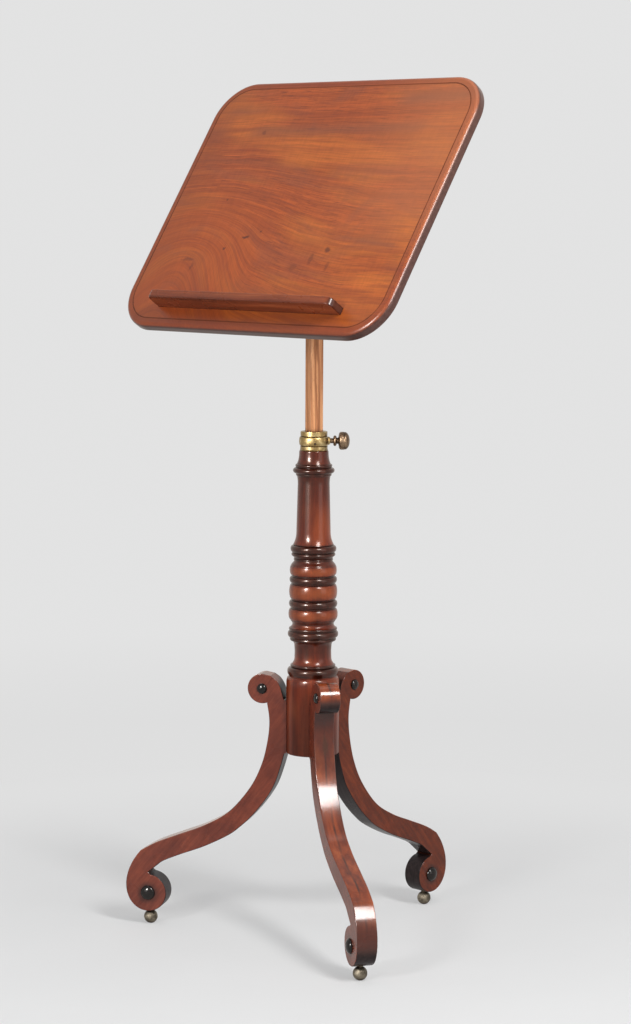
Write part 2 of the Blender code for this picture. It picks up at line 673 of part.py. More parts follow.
def board_mesh():
    back = BOARD_FACE - BOARD_THICKNESS
    outline = rounded_rectangle(BOARD_WIDTH, BOARD_DEPTH, BOARD_CORNER)
    body = slab("board", outline, back, BOARD_FACE)
    body = soften(body, level(BOARD_FACE), BOARD_FRONT_EDGE, 2)
    body = soften(body, level(back), BOARD_BACK_EDGE)
    groove = ring_mesh("groove", STRING_INSET - GAP, STRING_WIDTH + 2 * GAP,
                       BOARD_FACE - STRING_DEPTH - GAP, BOARD_FACE + OVERRUN)
    body = combine(body, groove, 'DIFFERENCE')
    bores = []
    for x in ledge_screw_places():
        y = ledge_middle()
        bores.append(moved(rod("ledge_screw_bore", WOOD_SCREW_RADIUS + GAP, back - OVERRUN,
                               BOARD_FACE + OVERRUN, SCREW_SIDES), shift(x, y, 0)))
    for x, y in bearer_screw_places():
        bores.append(moved(rod("bearer_screw_bore", WOOD_SCREW_RADIUS + GAP, back - OVERRUN,
                               back + WOOD_SCREW_BITE + GAP, SCREW_SIDES), shift(x, y, 0)))
    return combine(body, gather("board_bores", bores), 'DIFFERENCE')


def ledge_screw_places():
    return [LEDGE_LENGTH * share for share in ledge_screw_shares]


def ledge_middle():
    return LEDGE_INSET + LEDGE_THICKNESS / 2 - BOARD_DEPTH / 2


def ledge_mesh():
    """Book ledge with quarter-round ends, standing on the board's face."""
    half = LEDGE_LENGTH / 2
    low = BOARD_FACE + GAP
    shoulder = low + LEDGE_STAND - LEDGE_END_RADIUS
    outline = [(-half, low), (half, low)]
    outline += arc(half - LEDGE_END_RADIUS, shoulder, LEDGE_END_RADIUS, 0, 90, CORNER_STEPS)
    outline += arc(LEDGE_END_RADIUS - half, shoulder, LEDGE_END_RADIUS, 90, 180, CORNER_STEPS)
    blank = slab("ledge", outline, -LEDGE_THICKNESS / 2, LEDGE_THICKNESS / 2)
    rim = lambda a, b: abs(a.z - b.z) < WELD and max(a.y, b.y) > low + WELD
    body = moved(soften(blank, rim, LEDGE_EDGE), shift(0, ledge_middle(), 0), UPRIGHT)
    bores = [moved(rod("screw_bore", WOOD_SCREW_RADIUS + GAP, low - OVERRUN, low + WOOD_SCREW_BITE + GAP,
                       SCREW_SIDES), shift(x, ledge_middle(), 0)) for x in ledge_screw_places()]
    return combine(body, gather("ledge_bores", bores), 'DIFFERENCE')


def bearer_middle():
    return BLOCK_WIDTH / 2 + BLOCK_CLEARANCE + BEARER_THICKNESS / 2


def bearer_screw_places():
    along = BEARER_LENGTH * bearer_screw_share
    return [(side * bearer_middle(), end * along) for side in (-1, 1) for end in (-1, 1)]


def bearer_line(y):
    """Lower line of a bearer: level round the bolt, then an ogee up to the thin ends."""
    top = BOARD_FACE - BOARD_THICKNESS - GAP
    flat = BEARER_LENGTH * BEARER_FLAT_SHARE / 2
    run = BEARER_LENGTH / 2 - flat
    share = min(max((abs(y) - flat) / run, 0), 1)
    rise = top - BEARER_END_DEPTH + BEARER_BELOW_AXIS
    return -BEARER_BELOW_AXIS + rise * (1 - math.cos(math.pi * share)) / 2


def bearer_mesh():
    top = BOARD_FACE - BOARD_THICKNESS - GAP
    half = BEARER_LENGTH / 2
    flat = half * BEARER_FLAT_SHARE
    rising = [flat + (half - flat) * k / BEARER_STEPS for k in range(BEARER_STEPS + 1)]
    places = [-y for y in reversed(rising)] + rising
    outline = [(y, bearer_line(y)) for y in places] + [(half, top), (-half, top)]
    side = BEARER_THICKNESS / 2
    blank = slab("bearer", outline, -side, side)
    rim = lambda a, b: abs(a.z - b.z) < WELD and min(a.y, b.y) < top - WELD
    body = moved(soften(blank, rim, BEARER_EDGE), ACROSS)
    bores = [moved(rod("bolt_bore", BOLT_RADIUS + GAP, -side - OVERRUN, side + OVERRUN), ACROSS)]
    along = BEARER_LENGTH * bearer_screw_share
    seat = bearer_line(along) + WOOD_SCREW_SUNK
    wide = WOOD_SCREW_HEAD_RADIUS + GAP
    narrow = WOOD_SCREW_RADIUS + GAP
    for y in (-along, along):
        recess = turned("recess", [(0, seat - 2 * OVERRUN), (wide, seat - 2 * OVERRUN), (wide, seat),
                                   (narrow, seat), (narrow, top + OVERRUN), (0, top + OVERRUN)],
                        SCREW_SIDES)
        bores.append(moved(recess, shift(0, y, 0)))
    return combine(body, gather("bearer_bores", bores), 'DIFFERENCE')


def wood_screw_mesh(name, grip):
    """Round-headed screw along +Z; its head bears on z = 0 and grip is the wood under the head."""
    radius = WOOD_SCREW_HEAD_RADIUS
    dome = [(radius * math.cos(k * math.pi / 6), -WOOD_SCREW_HEAD_RISE * math.sin(k * math.pi / 6) - GAP)
            for k in (2, 1, 0)]
    profile = [(0, -WOOD_SCREW_HEAD_RISE - GAP)] + dome
    profile += [(WOOD_SCREW_RADIUS, -GAP), (WOOD_SCREW_RADIUS, grip + WOOD_SCREW_BITE - WOOD_SCREW_RADIUS),
                (0, grip + WOOD_SCREW_BITE)]
    return turned(name, profile, SCREW_SIDES)


def bolt_outer():
    """Outer face of the bearers from the middle of the board."""
    return BLOCK_WIDTH / 2 + BLOCK_CLEARANCE + BEARER_THICKNESS


def bolt_mesh():
    """Tilt bolt along +Z with a domed head at its lower end."""
    seat = -bolt_outer() - GAP
    dome = [(BOLT_HEAD_RADIUS * math.cos(k * math.pi / 8), seat - BOLT_HEAD_RISE * math.sin(k * math.pi / 8))
            for k in (3, 2, 1, 0)]
    end = bolt_outer() + WASHER_THICKNESS + NUT_LENGTH + 2 * GAP + BOLT_TAIL
    tip = BOLT_TAIL / 2
    profile = [(0, seat - BOLT_HEAD_RISE)] + dome
    profile += [(BOLT_RADIUS, seat), (BOLT_RADIUS, end - tip), (BOLT_RADIUS - tip, end), (0, end)]
    return turned("tilt_bolt", profile, BOLT_SIDES)


def bored_disc(name, rim, low, high):
    """A turned ring with the bolt's bore; rim is its outer line from low to high."""
    bore = BOLT_RADIUS + GAP
    work = bmesh.new()
    ring = [work.verts.new((radius, 0, height)) for radius, height in [(bore, low)] + rim + [(bore, high)]]
    edges = [work.edges.new(pair) for pair in zip(ring, ring[1:] + ring[:1])]
    bmesh.ops.spin(work, geom=ring + edges, cent=(0, 0, 0), axis=(0, 0, 1), angle=2 * math.pi,
                   steps=KNOB_SIDES, use_merge=True)
    bmesh.ops.remove_doubles(work, verts=work.verts, dist=WELD)
    return to_mesh(name, work)


def washer_mesh():
    low = bolt_outer() + GAP
    high = low + WASHER_THICKNESS - GAP
    return bored_disc("tilt_washer", [(WASHER_RADIUS, low), (WASHER_RADIUS, high)], low, high)


def nut_mesh():
    low = bolt_outer() + WASHER_THICKNESS + GAP
    rim = [(NUT_RADIUS * radius, low + NUT_LENGTH * along) for along, radius in nut_shares]
    return bored_disc("tilt_nut", rim, low, low + NUT_LENGTH)


def axis_behind_middle():
    """Distance from the middle of the table's footprint forward to the column's axis."""
    slope = math.radians(TILT_DEGREES)
    edge_down = BOARD_DEPTH / 2 - LEDGE_INSET - LEDGE_EDGE
    ledge_front = edge_down * math.cos(slope) + (BOARD_FACE + GAP + LEDGE_STAND) * math.sin(slope)
    board_front = BOARD_DEPTH / 2 * math.cos(slope) + BOARD_FACE * math.sin(slope)
    reach = max(x for x, z in leg_outline())
    leg_front = reach * math.sin(math.pi / 6) + LEG_THICKNESS / 2 * math.cos(math.pi / 6)
    return (reach - max(ledge_front, board_front, leg_front)) / 2


def build_base(stand, finish):
    place("column", column_mesh(), finish["column_wood"], stand)
    collar_foot = COLUMN_TOP + GAP
    place("collar", collar_mesh(), finish["collar_brass"], stand, (0, 0, collar_foot))
    pin = turned("collar_pin", [(0, 0), (COLLAR_PIN_RADIUS, 0), (COLLAR_PIN_RADIUS, COLLAR_PIN_LENGTH),
                                (0, COLLAR_PIN_LENGTH + GAP)], SCREW_SIDES)
    for side, degrees in zip(("front", "back"), collar_pin_degrees):
        turn = math.radians(degrees)
        near = COLLAR_PIN_REACH - COLLAR_PIN_LENGTH
        place("collar_pin_" + side, pin, finish["aged_brass"], stand,
              (near * math.cos(turn), near * math.sin(turn), collar_foot + COLLAR_PIN_RISE),
              (0, math.pi / 2, turn))


def build_legs(stand, finish):
    leg = leg_mesh()
    foot = foot_mesh()
    top_boss = boss_mesh("top_boss", TOP_BOSS_RADIUS, TOP_BOSS_RISE)
    foot_boss = boss_mesh("foot_boss", FOOT_BOSS_RADIUS, FOOT_BOSS_RISE)
    half = LEG_THICKNESS / 2
    for corner, degrees in LEG_TURNS.items():
        line = frame_at("line_" + corner, stand, (0, 0, 0), (0, 0, math.radians(degrees)))
        place("leg_" + corner, leg, finish["leg_wood"], line)
        place("foot_" + corner, foot, finish["foot_brass"], line, (FOOT_SCROLL_OUT, 0, 0))
        for side, sign in (("a", 1), ("b", -1)):
            turn = (-sign * math.pi / 2, 0, 0)
            place("top_boss_" + corner + "_" + side, top_boss, finish["ebony"], line,
                  (TOP_SCROLL_OUT, sign * half, TOP_SCROLL_UP), turn)
            place("foot_boss_" + corner + "_" + side, foot_boss, finish["ebony"], line,
                  (FOOT_SCROLL_OUT, sign * half, foot_scroll_up()), turn)


def build_thumb_screw(stand, finish):
    height = COLUMN_TOP + GAP + SCREW_RISE
    line = frame_at("screw_line", stand, (0, 0, height), (0, math.pi / 2, math.radians(SCREW_TURN_DEGREES)))
    shoe = rod("screw_shoe", SHOE_RADIUS, shoe_front(), shoe_back(), KNOB_SIDES)
    place("screw_shoe", shoe, finish["collar_brass"], line)
    place("thumb_screw", thumb_screw_mesh(), finish["aged_brass"], line)


def build_stem(stand, finish):
    place("stem", stem_mesh(), finish["stem_wood"], stand)
    place("pivot_block", block_mesh(), finish["underside_wood"], stand, (0, 0, TILT_AXIS_UP))


def build_board(tilt, finish):
    place("board", board_mesh(), finish["board_wood"], tilt)
    string = ring_mesh("stringing", STRING_INSET, STRING_WIDTH, BOARD_FACE - STRING_DEPTH, BOARD_FACE)
    place("stringing", string, finish["dark_line"], tilt)
    place("ledge", ledge_mesh(), finish["ledge_wood"], tilt)
    back = BOARD_FACE - BOARD_THICKNESS
    long_screw = wood_screw_mesh("ledge_screw", BOARD_THICKNESS)
    for number, x in enumerate(ledge_screw_places(), 1):
        place("ledge_screw_%d" % number, long_screw, finish["steel"], tilt, (x, ledge_middle(), back))


def build_bearers(tilt, finish):
    bearer = bearer_mesh()
    for side, sign in (("left", -1), ("right", 1)):
        place("bearer_" + side, bearer, finish["underside_wood"], tilt, (sign * bearer_middle(), 0, 0))
    along = BEARER_LENGTH * bearer_screw_share
    seat = bearer_line(along) + WOOD_SCREW_SUNK
    grip = BOARD_FACE - BOARD_THICKNESS - seat
    screw = wood_screw_mesh("bearer_screw", grip)
    for number, (x, y) in enumerate(bearer_screw_places(), 1):
        place("bearer_screw_%d" % number, screw, finish["steel"], tilt, (x, y, seat))


def build_tilt_bolt(tilt, finish):
    line = frame_at("bolt_line", tilt, (0, 0, 0), (math.pi / 2, 0, math.pi / 2))
    place("tilt_bolt", bolt_mesh(), finish["aged_brass"], line)
    place("tilt_washer", washer_mesh(), finish["aged_brass"], line)
    place("tilt_nut", nut_mesh(), finish["aged_brass"], line)


def build():
    clear_scene()
    finish = make_materials()
    stand = frame_at("stand", None, (0, -axis_behind_middle(), 0))
    tilt = frame_at("tilt_axis", stand, (0, 0, TILT_AXIS_UP), (math.radians(TILT_DEGREES), 0, 0))
    build_base(stand, finish)
    build_legs(stand, finish)
    build_thumb_screw(stand, finish)
    build_stem(stand, finish)
    build_board(tilt, finish)
    build_bearers(tilt, finish)
    build_tilt_bolt(tilt, finish)
    bpy.context.view_layer.update()


build()
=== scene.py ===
# %% [markdown]
# # A tilting reading table
# A tall table for reading or playing at: a sloping board with a book ledge, on a stem that slides in a
# ring-turned column. A brass collar with a thumb screw holds the stem, and three scroll legs with brass
# ball feet carry the column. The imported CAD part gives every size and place. Here each piece is turned,
# sawn or planed again with finer curves, and gets its own finish.

# %% Load the frame
import json
import math

import bpy
from mathutils import Matrix, Vector


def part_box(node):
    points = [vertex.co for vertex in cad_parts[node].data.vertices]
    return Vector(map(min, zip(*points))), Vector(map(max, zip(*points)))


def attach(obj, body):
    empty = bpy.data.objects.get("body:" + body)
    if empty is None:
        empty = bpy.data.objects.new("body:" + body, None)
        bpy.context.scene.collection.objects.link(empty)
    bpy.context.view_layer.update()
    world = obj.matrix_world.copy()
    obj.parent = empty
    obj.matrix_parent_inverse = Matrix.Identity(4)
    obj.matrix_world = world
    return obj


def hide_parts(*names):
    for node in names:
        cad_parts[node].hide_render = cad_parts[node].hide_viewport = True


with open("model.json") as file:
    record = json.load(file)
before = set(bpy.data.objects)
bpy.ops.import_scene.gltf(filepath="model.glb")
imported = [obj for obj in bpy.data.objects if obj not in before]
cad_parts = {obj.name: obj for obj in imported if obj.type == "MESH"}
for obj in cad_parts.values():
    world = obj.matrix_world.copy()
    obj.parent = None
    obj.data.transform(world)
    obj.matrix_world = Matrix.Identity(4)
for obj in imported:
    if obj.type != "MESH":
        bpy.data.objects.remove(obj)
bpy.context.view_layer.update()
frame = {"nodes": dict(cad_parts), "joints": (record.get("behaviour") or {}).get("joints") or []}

# %% [markdown]
# ## Where things are
# The column, the legs and the stem share one upright axis, and everything on the board is laid out from the
# tilt axis. Reading both from the frame, and not typing them again, keeps the pieces on the CAD part.

# %% The upright axis and the tilt axis
GAP = 0.0003              # air between two pieces that touch
WELD = 0.000001           # points nearer than this are one point
OVERRUN = 0.004           # how far a cutter runs past what it cuts
TILT_DEGREES = 56.5       # slope of the board from level

column_low, column_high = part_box("column")
joints = {joint["name"]: joint for joint in frame["joints"]}
tilt_place = Vector(joints["board_tilt"]["pos_m"])
axis_place = Vector((tilt_place.x, tilt_place.y, 0))
BASE_RADIUS = (column_high.x - column_low.x) / 2


def turn_about(letter, degrees):
    return Matrix.Rotation(math.radians(degrees), 4, letter)


def shift(x, y, z):
    return Matrix.Translation((x, y, z))


stand = Matrix.Translation(axis_place)
board_frame = Matrix.Translation(tilt_place) @ turn_about('X', TILT_DEGREES)
print("column axis at", tuple(axis_place), "drum radius", round(BASE_RADIUS, 5))

# %% [markdown]
# ## A lathe and a fretsaw
# Nearly every piece of this table is either turned or sawn. On a lathe a cutter follows a line while the
# wood spins, so `lathe` draws half of the outline as a chain of vertices, with Extrude from point to point,
# and spins it. A fretsaw cuts an outline out of a plank, so `plank` fills a closed outline and extrudes it.

# %% Lathe, plank and rod
ROD_SIDES = 32


def start_plane(name):
    """A plane of one metre in edit mode, with its corners selected."""
    bpy.ops.object.select_all(action='DESELECT')
    bpy.ops.mesh.primitive_plane_add(size=1)
    bpy.context.object.name = name
    bpy.ops.object.mode_set(mode='EDIT')
    bpy.ops.mesh.select_mode(type='VERT')
    bpy.ops.mesh.select_all(action='SELECT')
    return bpy.context.object


def extrude(move):
    bpy.ops.mesh.extrude_region_move(TRANSFORM_OT_translate={"value": move})


def draw_line(name, points):
    """A plane merged to one vertex, which is then extruded from point to point. All of it is selected."""
    piece = start_plane(name)
    bpy.ops.mesh.merge(type='CENTER')
    bpy.ops.transform.translate(value=points[0])
    for start, end in zip(points, points[1:]):
        extrude(end - start)
    bpy.ops.mesh.select_all(action='SELECT')
    return piece


def close_up():
    """Merges doubles and turns all faces outwards, and leaves edit mode."""
    bpy.ops.mesh.select_all(action='SELECT')
    bpy.ops.mesh.remove_doubles(threshold=WELD)
    bpy.ops.mesh.normals_make_consistent(inside=False)
    bpy.ops.object.mode_set(mode='OBJECT')


def lathe(name, profile, sides):
    """Turns (radius, height) points about the Z axis. The line starts and ends on the axis, or closes."""
    piece = draw_line(name, [Vector((radius, 0, height)) for radius, height in profile])
    bpy.ops.mesh.spin(steps=sides, angle=2 * math.pi, center=(0, 0, 0), axis=(0, 0, 1))
    close_up()
    return piece


def plank(name, outline, low, high):
    """Fills a closed outline of (x, y) points and extrudes it from z = low to z = high."""
    piece = draw_line(name, [Vector((x, y, low)) for x, y in outline])
    bpy.ops.mesh.edge_face_add()
    extrude((0, 0, high - low))
    close_up()
    return piece


def rod(name, radius, low, high, sides=ROD_SIDES):
    """A plain turned rod along Z."""
    return lathe(name, [(0, low), (radius, low), (radius, high), (0, high)], sides)


# %% [markdown]
# A Boolean modifier cuts the bores and sockets, as a drill and a chisel do, and Bevel softens edges, as
# sandpaper does. A piece is moved by matrices that are applied to its mesh, so its object stays at the
# origin. What repeats is made once and copied. `finish` gives a piece its material, ties it to its CAD body
# and hides the CAD part that it stands for.

# %% Edges, bores, copies and finish
SHARP_DEGREES = 32        # edges sharper than this stay crisp
EDGE_ROWS = 3             # rows of faces round a softened edge


def pick(piece):
    """Selects one piece alone and makes it active."""
    bpy.ops.object.select_all(action='DESELECT')
    piece.select_set(True)
    bpy.context.view_layer.objects.active = piece


def is_level(a, b):
    """Whether an edge is level, as the rims of a plank are."""
    return abs(a.z - b.z) < WELD


def soften(piece, test, width, rows=EDGE_ROWS):
    """Rounds the edges for which test(first point, second point) is true."""
    pick(piece)
    bpy.ops.object.mode_set(mode='EDIT')
    bpy.ops.mesh.select_mode(type='EDGE')
    bpy.ops.mesh.select_all(action='DESELECT')
    bpy.ops.object.mode_set(mode='OBJECT')
    corners = piece.data.vertices
    for edge in piece.data.edges:
        edge.select = test(*(corners[index].co for index in edge.vertices))
    bpy.ops.object.mode_set(mode='EDIT')
    bpy.ops.mesh.bevel(offset=width, segments=rows, affect='EDGES')
    close_up()


def carve(piece, tool, operation='DIFFERENCE'):
    """Cuts the tool out of the piece, or joins it on, and throws the tool away."""
    pick(piece)
    step = piece.modifiers.new("carve", 'BOOLEAN')
    step.operation = operation
    step.solver = 'EXACT'
    step.object = tool
    bpy.ops.object.modifier_apply(modifier=step.name)
    bpy.data.objects.remove(tool)


def put(piece, *steps):
    """Moves a piece by the matrices, the last one first, and applies the place to its mesh."""
    place = Matrix.Identity(4)
    for step in steps:
        place = place @ step
    pick(piece)
    piece.matrix_world = place
    bpy.ops.object.transform_apply(location=True, rotation=True, scale=True)
    return piece


def bore(piece, radius, low, high, *steps, sides=ROD_SIDES):
    """Drills a hole for a rod of this radius, with a gap round it. The matrices place the drill."""
    carve(piece, put(rod("drill", radius + GAP, low, high, sides), *steps))


def another(piece, name, *steps):
    """A copy of a piece with a mesh of its own, moved by the matrices."""
    pick(piece)
    bpy.ops.object.duplicate(linked=False)
    copy = bpy.context.object
    copy.name = name
    return put(copy, *steps)


def finish(piece, material, body, node):
    """Gives a piece its finish, ties it to the CAD body, and hides the CAD node that it stands for."""
    piece.data.materials.clear()
    piece.data.materials.append(material)
    pick(piece)
    bpy.ops.object.shade_smooth_by_angle(angle=math.radians(SHARP_DEGREES))
    step = piece.modifiers.new("keep flats flat", 'WEIGHTED_NORMAL')
    step.keep_sharp = True
    bpy.ops.object.modifier_apply(modifier=step.name)
    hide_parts(node)
    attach(piece, body)


# %% [markdown]
# ## Curves that a turner and a sawyer mark out
# A turning is a row of members: fillets, beads, hollows and sweeps. Each is written as its kind, where it
# ends and its radius there, as shares of two sizes, and for a bead the radius of its crest. A sawn line is
# a smooth curve through a few marked points.

# %% Outline helpers
curve_steps = {"line": 1, "round": 5, "sweep": 9, "hollow": 7, "ogee": 7, "bead": 9, "bulb": 15, "dome": 9}
sweep_power_share = 2.5


def ease(share):
    """A share that starts and ends slowly."""
    return (1 - math.cos(math.pi * share)) / 2


def member_point(kind, share, start, end, crest):
    """Radius at a share of the way along one turned member."""
    change = end - start
    if kind == "round":
        return start + change * math.sqrt(1 - (1 - share) ** 2)
    if kind == "dome":
        return end - change * math.sqrt(1 - share ** 2)
    if kind == "sweep":
        return start + change * share ** sweep_power_share
    if kind == "hollow":
        return end - change * (1 - share) ** sweep_power_share
    if kind == "ogee":
        return start + change * ease(share)
    straight = start + change * share
    if kind in ("bead", "bulb"):
        return straight + (crest - straight) * math.sqrt(1 - (2 * share - 1) ** 2)
    return straight


def member_line(members, start, length, radius, origin=0.0):
    """(radius, place) points along a turning, after its start."""
    line = []
    here_radius, here = start
    for kind, place_share, radius_share, *crest_share in members:
        next_place = origin + length * place_share
        next_radius = radius * radius_share
        crest = radius * crest_share[0] if crest_share else None
        shares = [k / curve_steps[kind] for k in range(1, curve_steps[kind] + 1)]
        if kind in ("bead", "bulb"):
            shares = [ease(share) for share in shares]
        if kind == "dome":
            shares = [math.sin(math.pi / 2 * share) for share in shares]
        for share in shares:
            line.append((member_point(kind, share, here_radius, next_radius, crest),
                         here + (next_place - here) * share))
        here_radius, here = next_radius, next_place
    return line


def arc(x, y, radius, start, end, steps):
    """Points on a circle from start to end, both in degrees."""
    angles = [math.radians(start + (end - start) * k / steps) for k in range(steps + 1)]
    return [(x + radius * math.cos(angle), y + radius * math.sin(angle)) for angle in angles]


def dome_line(radius, foot, rise, steps):
    """A quarter of an ellipse, from its rim towards its crown, which is left for the caller to add."""
    angles = [math.pi / 2 * k / steps for k in range(steps)]
    return [(radius * math.cos(angle), foot + rise * math.sin(angle)) for angle in angles]


def through(points, steps):
    """A smooth curve through the points: Catmull-Rom, with its ends repeated."""
    path = [points[0]] + list(points) + [points[-1]]
    curve = [points[0]]
    for a, b, c, d in zip(path, path[1:], path[2:], path[3:]):
        for k in range(1, steps + 1):
            t = k / steps
            curve.append(tuple(
                (2 * q + (r - p) * t + (2 * p - 5 * q + 4 * r - s) * t ** 2
                 + (3 * q - p - 3 * r + s) * t ** 3) / 2
                for p, q, r, s in zip(a, b, c, d)))
    return curve


# %% [markdown]
# ## How a finish is built
# A material is a small net of nodes. These helpers keep the nets readable. `add` makes a node in the net
# that its inputs come from, `feed` joins sockets or sets their values, and `tone` turns a colour as a picture
# shows it (0 to 255) into the linear numbers that the shader needs. Math nodes get short names, so that a
# sum of them reads like a sum.

# %% Node helpers
def tone(red, green, blue):
    """A picture's colour as linear light."""
    parts = [value / 255 for value in (red, green, blue)]
    return tuple(part / 12.92 if part <= 0.04045 else ((part + 0.055) / 1.055) ** 2.4 for part in parts)


def feed(item, inputs):
    """Joins a node's inputs to other sockets, or sets their values."""
    for key, value in inputs.items():
        socket = item.inputs[key]
        if isinstance(value, bpy.types.NodeSocket):
            socket.id_data.links.new(value, socket)
        elif socket.type == 'RGBA' and len(value) == 3:
            socket.default_value = (*value, 1)
        else:
            socket.default_value = value


def add(kind, inputs, tree=None, **settings):
    """A new node, in the tree that its inputs come from unless one is given."""
    if tree is None:
        tree = next(value.id_data for value in inputs.values() if isinstance(value, bpy.types.NodeSocket))
    item = tree.nodes.new("ShaderNode" + kind)
    for key, value in settings.items():
        setattr(item, key, value)
    feed(item, inputs)
    return item


def start_material(name):
    material = bpy.data.materials.new(name)
    material.use_nodes = True
    tree = material.node_tree
    return material, tree, tree.nodes["Principled BSDF"]


def object_place(tree):
    return add("TexCoord", {}, tree).outputs["Object"]


def calc(operation, first, second=0.0, clamp=False):
    return add("Math", {0: first, 1: second}, operation=operation, use_clamp=clamp).outputs[0]


def times(first, second, clamp=False):
    return calc('MULTIPLY', first, second, clamp)


def less(first, second):
    return calc('SUBTRACT', first, second)


def larger(first, second):
    return calc('MAXIMUM', first, second)


def vector_calc(operation, *values, out="Vector"):
    return add("VectorMath", dict(enumerate(values)), operation=operation).outputs[out]


def length_of(vector):
    return vector_calc('LENGTH', vector, out="Value")


def split(vector):
    """The x, y and z of a vector."""
    return list(add("SeparateXYZ", {"Vector": vector}).outputs)


def join(*values):
    """A vector of x, y and z."""
    return add("CombineXYZ", dict(enumerate(values))).outputs[0]


# %% [markdown]
# Patterns are drawn in Object coordinates, which a Mapping node turns into the piece's own frame, with x
# along the grain, so the grain stays in the wood when a piece moves. `over` lays tones on a colour one after
# another, as a finisher lays coats, and `facing` tells the sides of a piece apart by the direction in which
# the surface looks.

# %% Pattern helpers
def own_place(tree, place):
    """Object coordinates seen from a frame of the piece's own."""
    location, rotation, _ = place.decompose()
    frame_inputs = {"Vector": object_place(tree), "Location": location, "Rotation": rotation.to_euler()}
    return add("Mapping", frame_inputs, vector_type='TEXTURE').outputs["Vector"]


def noise(vector, scale, detail=3.0, roughness=0.55):
    """Even noise with `scale` changes to the metre."""
    return add("TexNoise", {"Vector": vector, "Scale": scale, "Detail": detail,
                            "Roughness": roughness}).outputs["Fac"]


def grain(vector, along, across, detail=3.0, roughness=0.55):
    """Noise drawn out along x, with so many changes to the metre along and across."""
    return noise(vector_calc('MULTIPLY', vector, (along, across, across)), 1.0, detail, roughness)


def wander(vector, scale, amount):
    """Pushes a pattern to and fro, so that its lines aren't ruled."""
    drift = add("TexNoise", {"Vector": vector, "Scale": scale, "Detail": 2.0}).outputs["Color"]
    centred = vector_calc('SUBTRACT', drift, (0.5, 0.5, 0.5))
    return vector_calc('ADD', vector, vector_calc('MULTIPLY', centred, (amount, amount, amount)))


def spread(value, low, high, to_low=0.0, to_high=1.0):
    """Maps a value from low..high to to_low..to_high, eased at both ends."""
    return add("MapRange", {"Value": value, "From Min": low, "From Max": high, "To Min": to_low,
                            "To Max": to_high}, interpolation_type='SMOOTHSTEP').outputs["Result"]


def mix(factor, first, second, blend='MIX'):
    return add("Mix", {0: factor, 6: first, 7: second}, data_type='RGBA', blend_type=blend).outputs[2]


def over(colour, *layers):
    """Lays tones over a colour, each by its own amount."""
    for amount, layer in layers:
        colour = mix(amount, colour, layer)
    return colour


def shade(colour, value):
    """Makes a colour lighter or darker: multiplies it by a value."""
    grey = add("CombineColor", {"Red": value, "Green": value, "Blue": value}).outputs["Color"]
    return mix(1.0, colour, grey, 'MULTIPLY')


def ramp(factor, stops):
    """A colour ramp with (place, colour) stops."""
    item = add("ValToRGB", {"Fac": factor})
    elements = item.color_ramp.elements
    elements.remove(elements[1])
    elements[0].position = stops[0][0]
    elements[0].color = (*stops[0][1], 1)
    for place, colour in stops[1:]:
        elements.new(place).color = (*colour, 1)
    return item.outputs["Color"]


def facing(tree, direction, low, high):
    """1 where the surface looks along the direction, 0 where it looks away."""
    normal = add("TexCoord", {}, tree).outputs["Normal"]
    return spread(vector_calc('DOT_PRODUCT', normal, direction.normalized(), out="Value"), low, high)


def either_way(tree, direction, low, high):
    """1 where the surface looks along the direction or against it."""
    return larger(facing(tree, direction, low, high), facing(tree, -direction, low, high))


# %% [markdown]
# ## Wood
# Old mahogany shows its age in layers. Broad streaks run along the grain and fine lines ride on them. Open
# pores are short dark flecks, which the polish fills only in part, so they also dent the surface. Wax and
# dust settle in the grooves, which are darkened with painted shade as well. One function lays these down,
# and each wood passes its own tones and gloss. Ambient occlusion finds the grooves, whatever the shape. A
# turning may also carry an attribute that says how dark the maker stained each ring, and where shade is
# painted on a bulb's ends and light on its crest; where there is none, long patches of warmer wood show.
# Under a clear coat the wood mirrors little, in the colour of its `gleam`.

# %% The wood function
WOOD_GLOSS = 0.12         # the polish on top does most of the mirroring, so the wood under it does little
BUMP_HEIGHT = 0.0002
PORES = (110.0, 2300.0)   # changes to the metre, along and across the grain
FINE_LINES = (9.0, 520.0)
LINE_RELIEF = 0.4         # how high the fine lines stand, beside the depth of a pore
WHITE = (1.0, 1.0, 1.0)
SHELLAC = tone(255, 232, 205)
tone_places = (0.28, 0.45, 0.58, 0.75)


def lay_grain(vector, tones, coarse, fine, fine_depth, pore_depth):
    """Streaks, lines and pores. Returns the colour and a height for the bump."""
    colour = ramp(grain(vector, *coarse, 4.0, 0.6), list(zip(tone_places, tones)))
    lines = grain(vector, *fine, 3.0, 0.6)
    colour = shade(colour, spread(lines, 0.25, 0.75, 1 - fine_depth, 1 + fine_depth / 2))
    pores = spread(grain(vector, *PORES, 1.0), 0.62, 0.72)
    return mix(times(pores, pore_depth), colour, tones[0]), less(times(lines, LINE_RELIEF), pores)


def streaked(vector, flat_tone, along, across, depth):
    """One tone with streaks of grain, for a side that was never polished; the legs' undersides use it to
    paint shade nearly black.
    """
    return shade(flat_tone, spread(grain(vector, along, across, 4.0, 0.6), 0.3, 0.7, 1 - depth, 1 + depth))


def settle_dirt_and_shade(colour, dirt_and_shade_tone, reach, amount):
    """Darkens grooves and inner corners, within reach of another surface: settled dirt, with painted shade.
    """
    shelter = add("AmbientOcclusion", {"Distance": reach}, colour.id_data, samples=8).outputs["AO"]
    return mix(spread(shelter, 0.35, 0.95, amount, 0.0), colour, dirt_and_shade_tone)


def dent(height, strength):
    """The direction of a surface that the height dents."""
    return add("Bump", {"Height": height, "Strength": strength, "Distance": BUMP_HEIGHT}).outputs["Normal"]


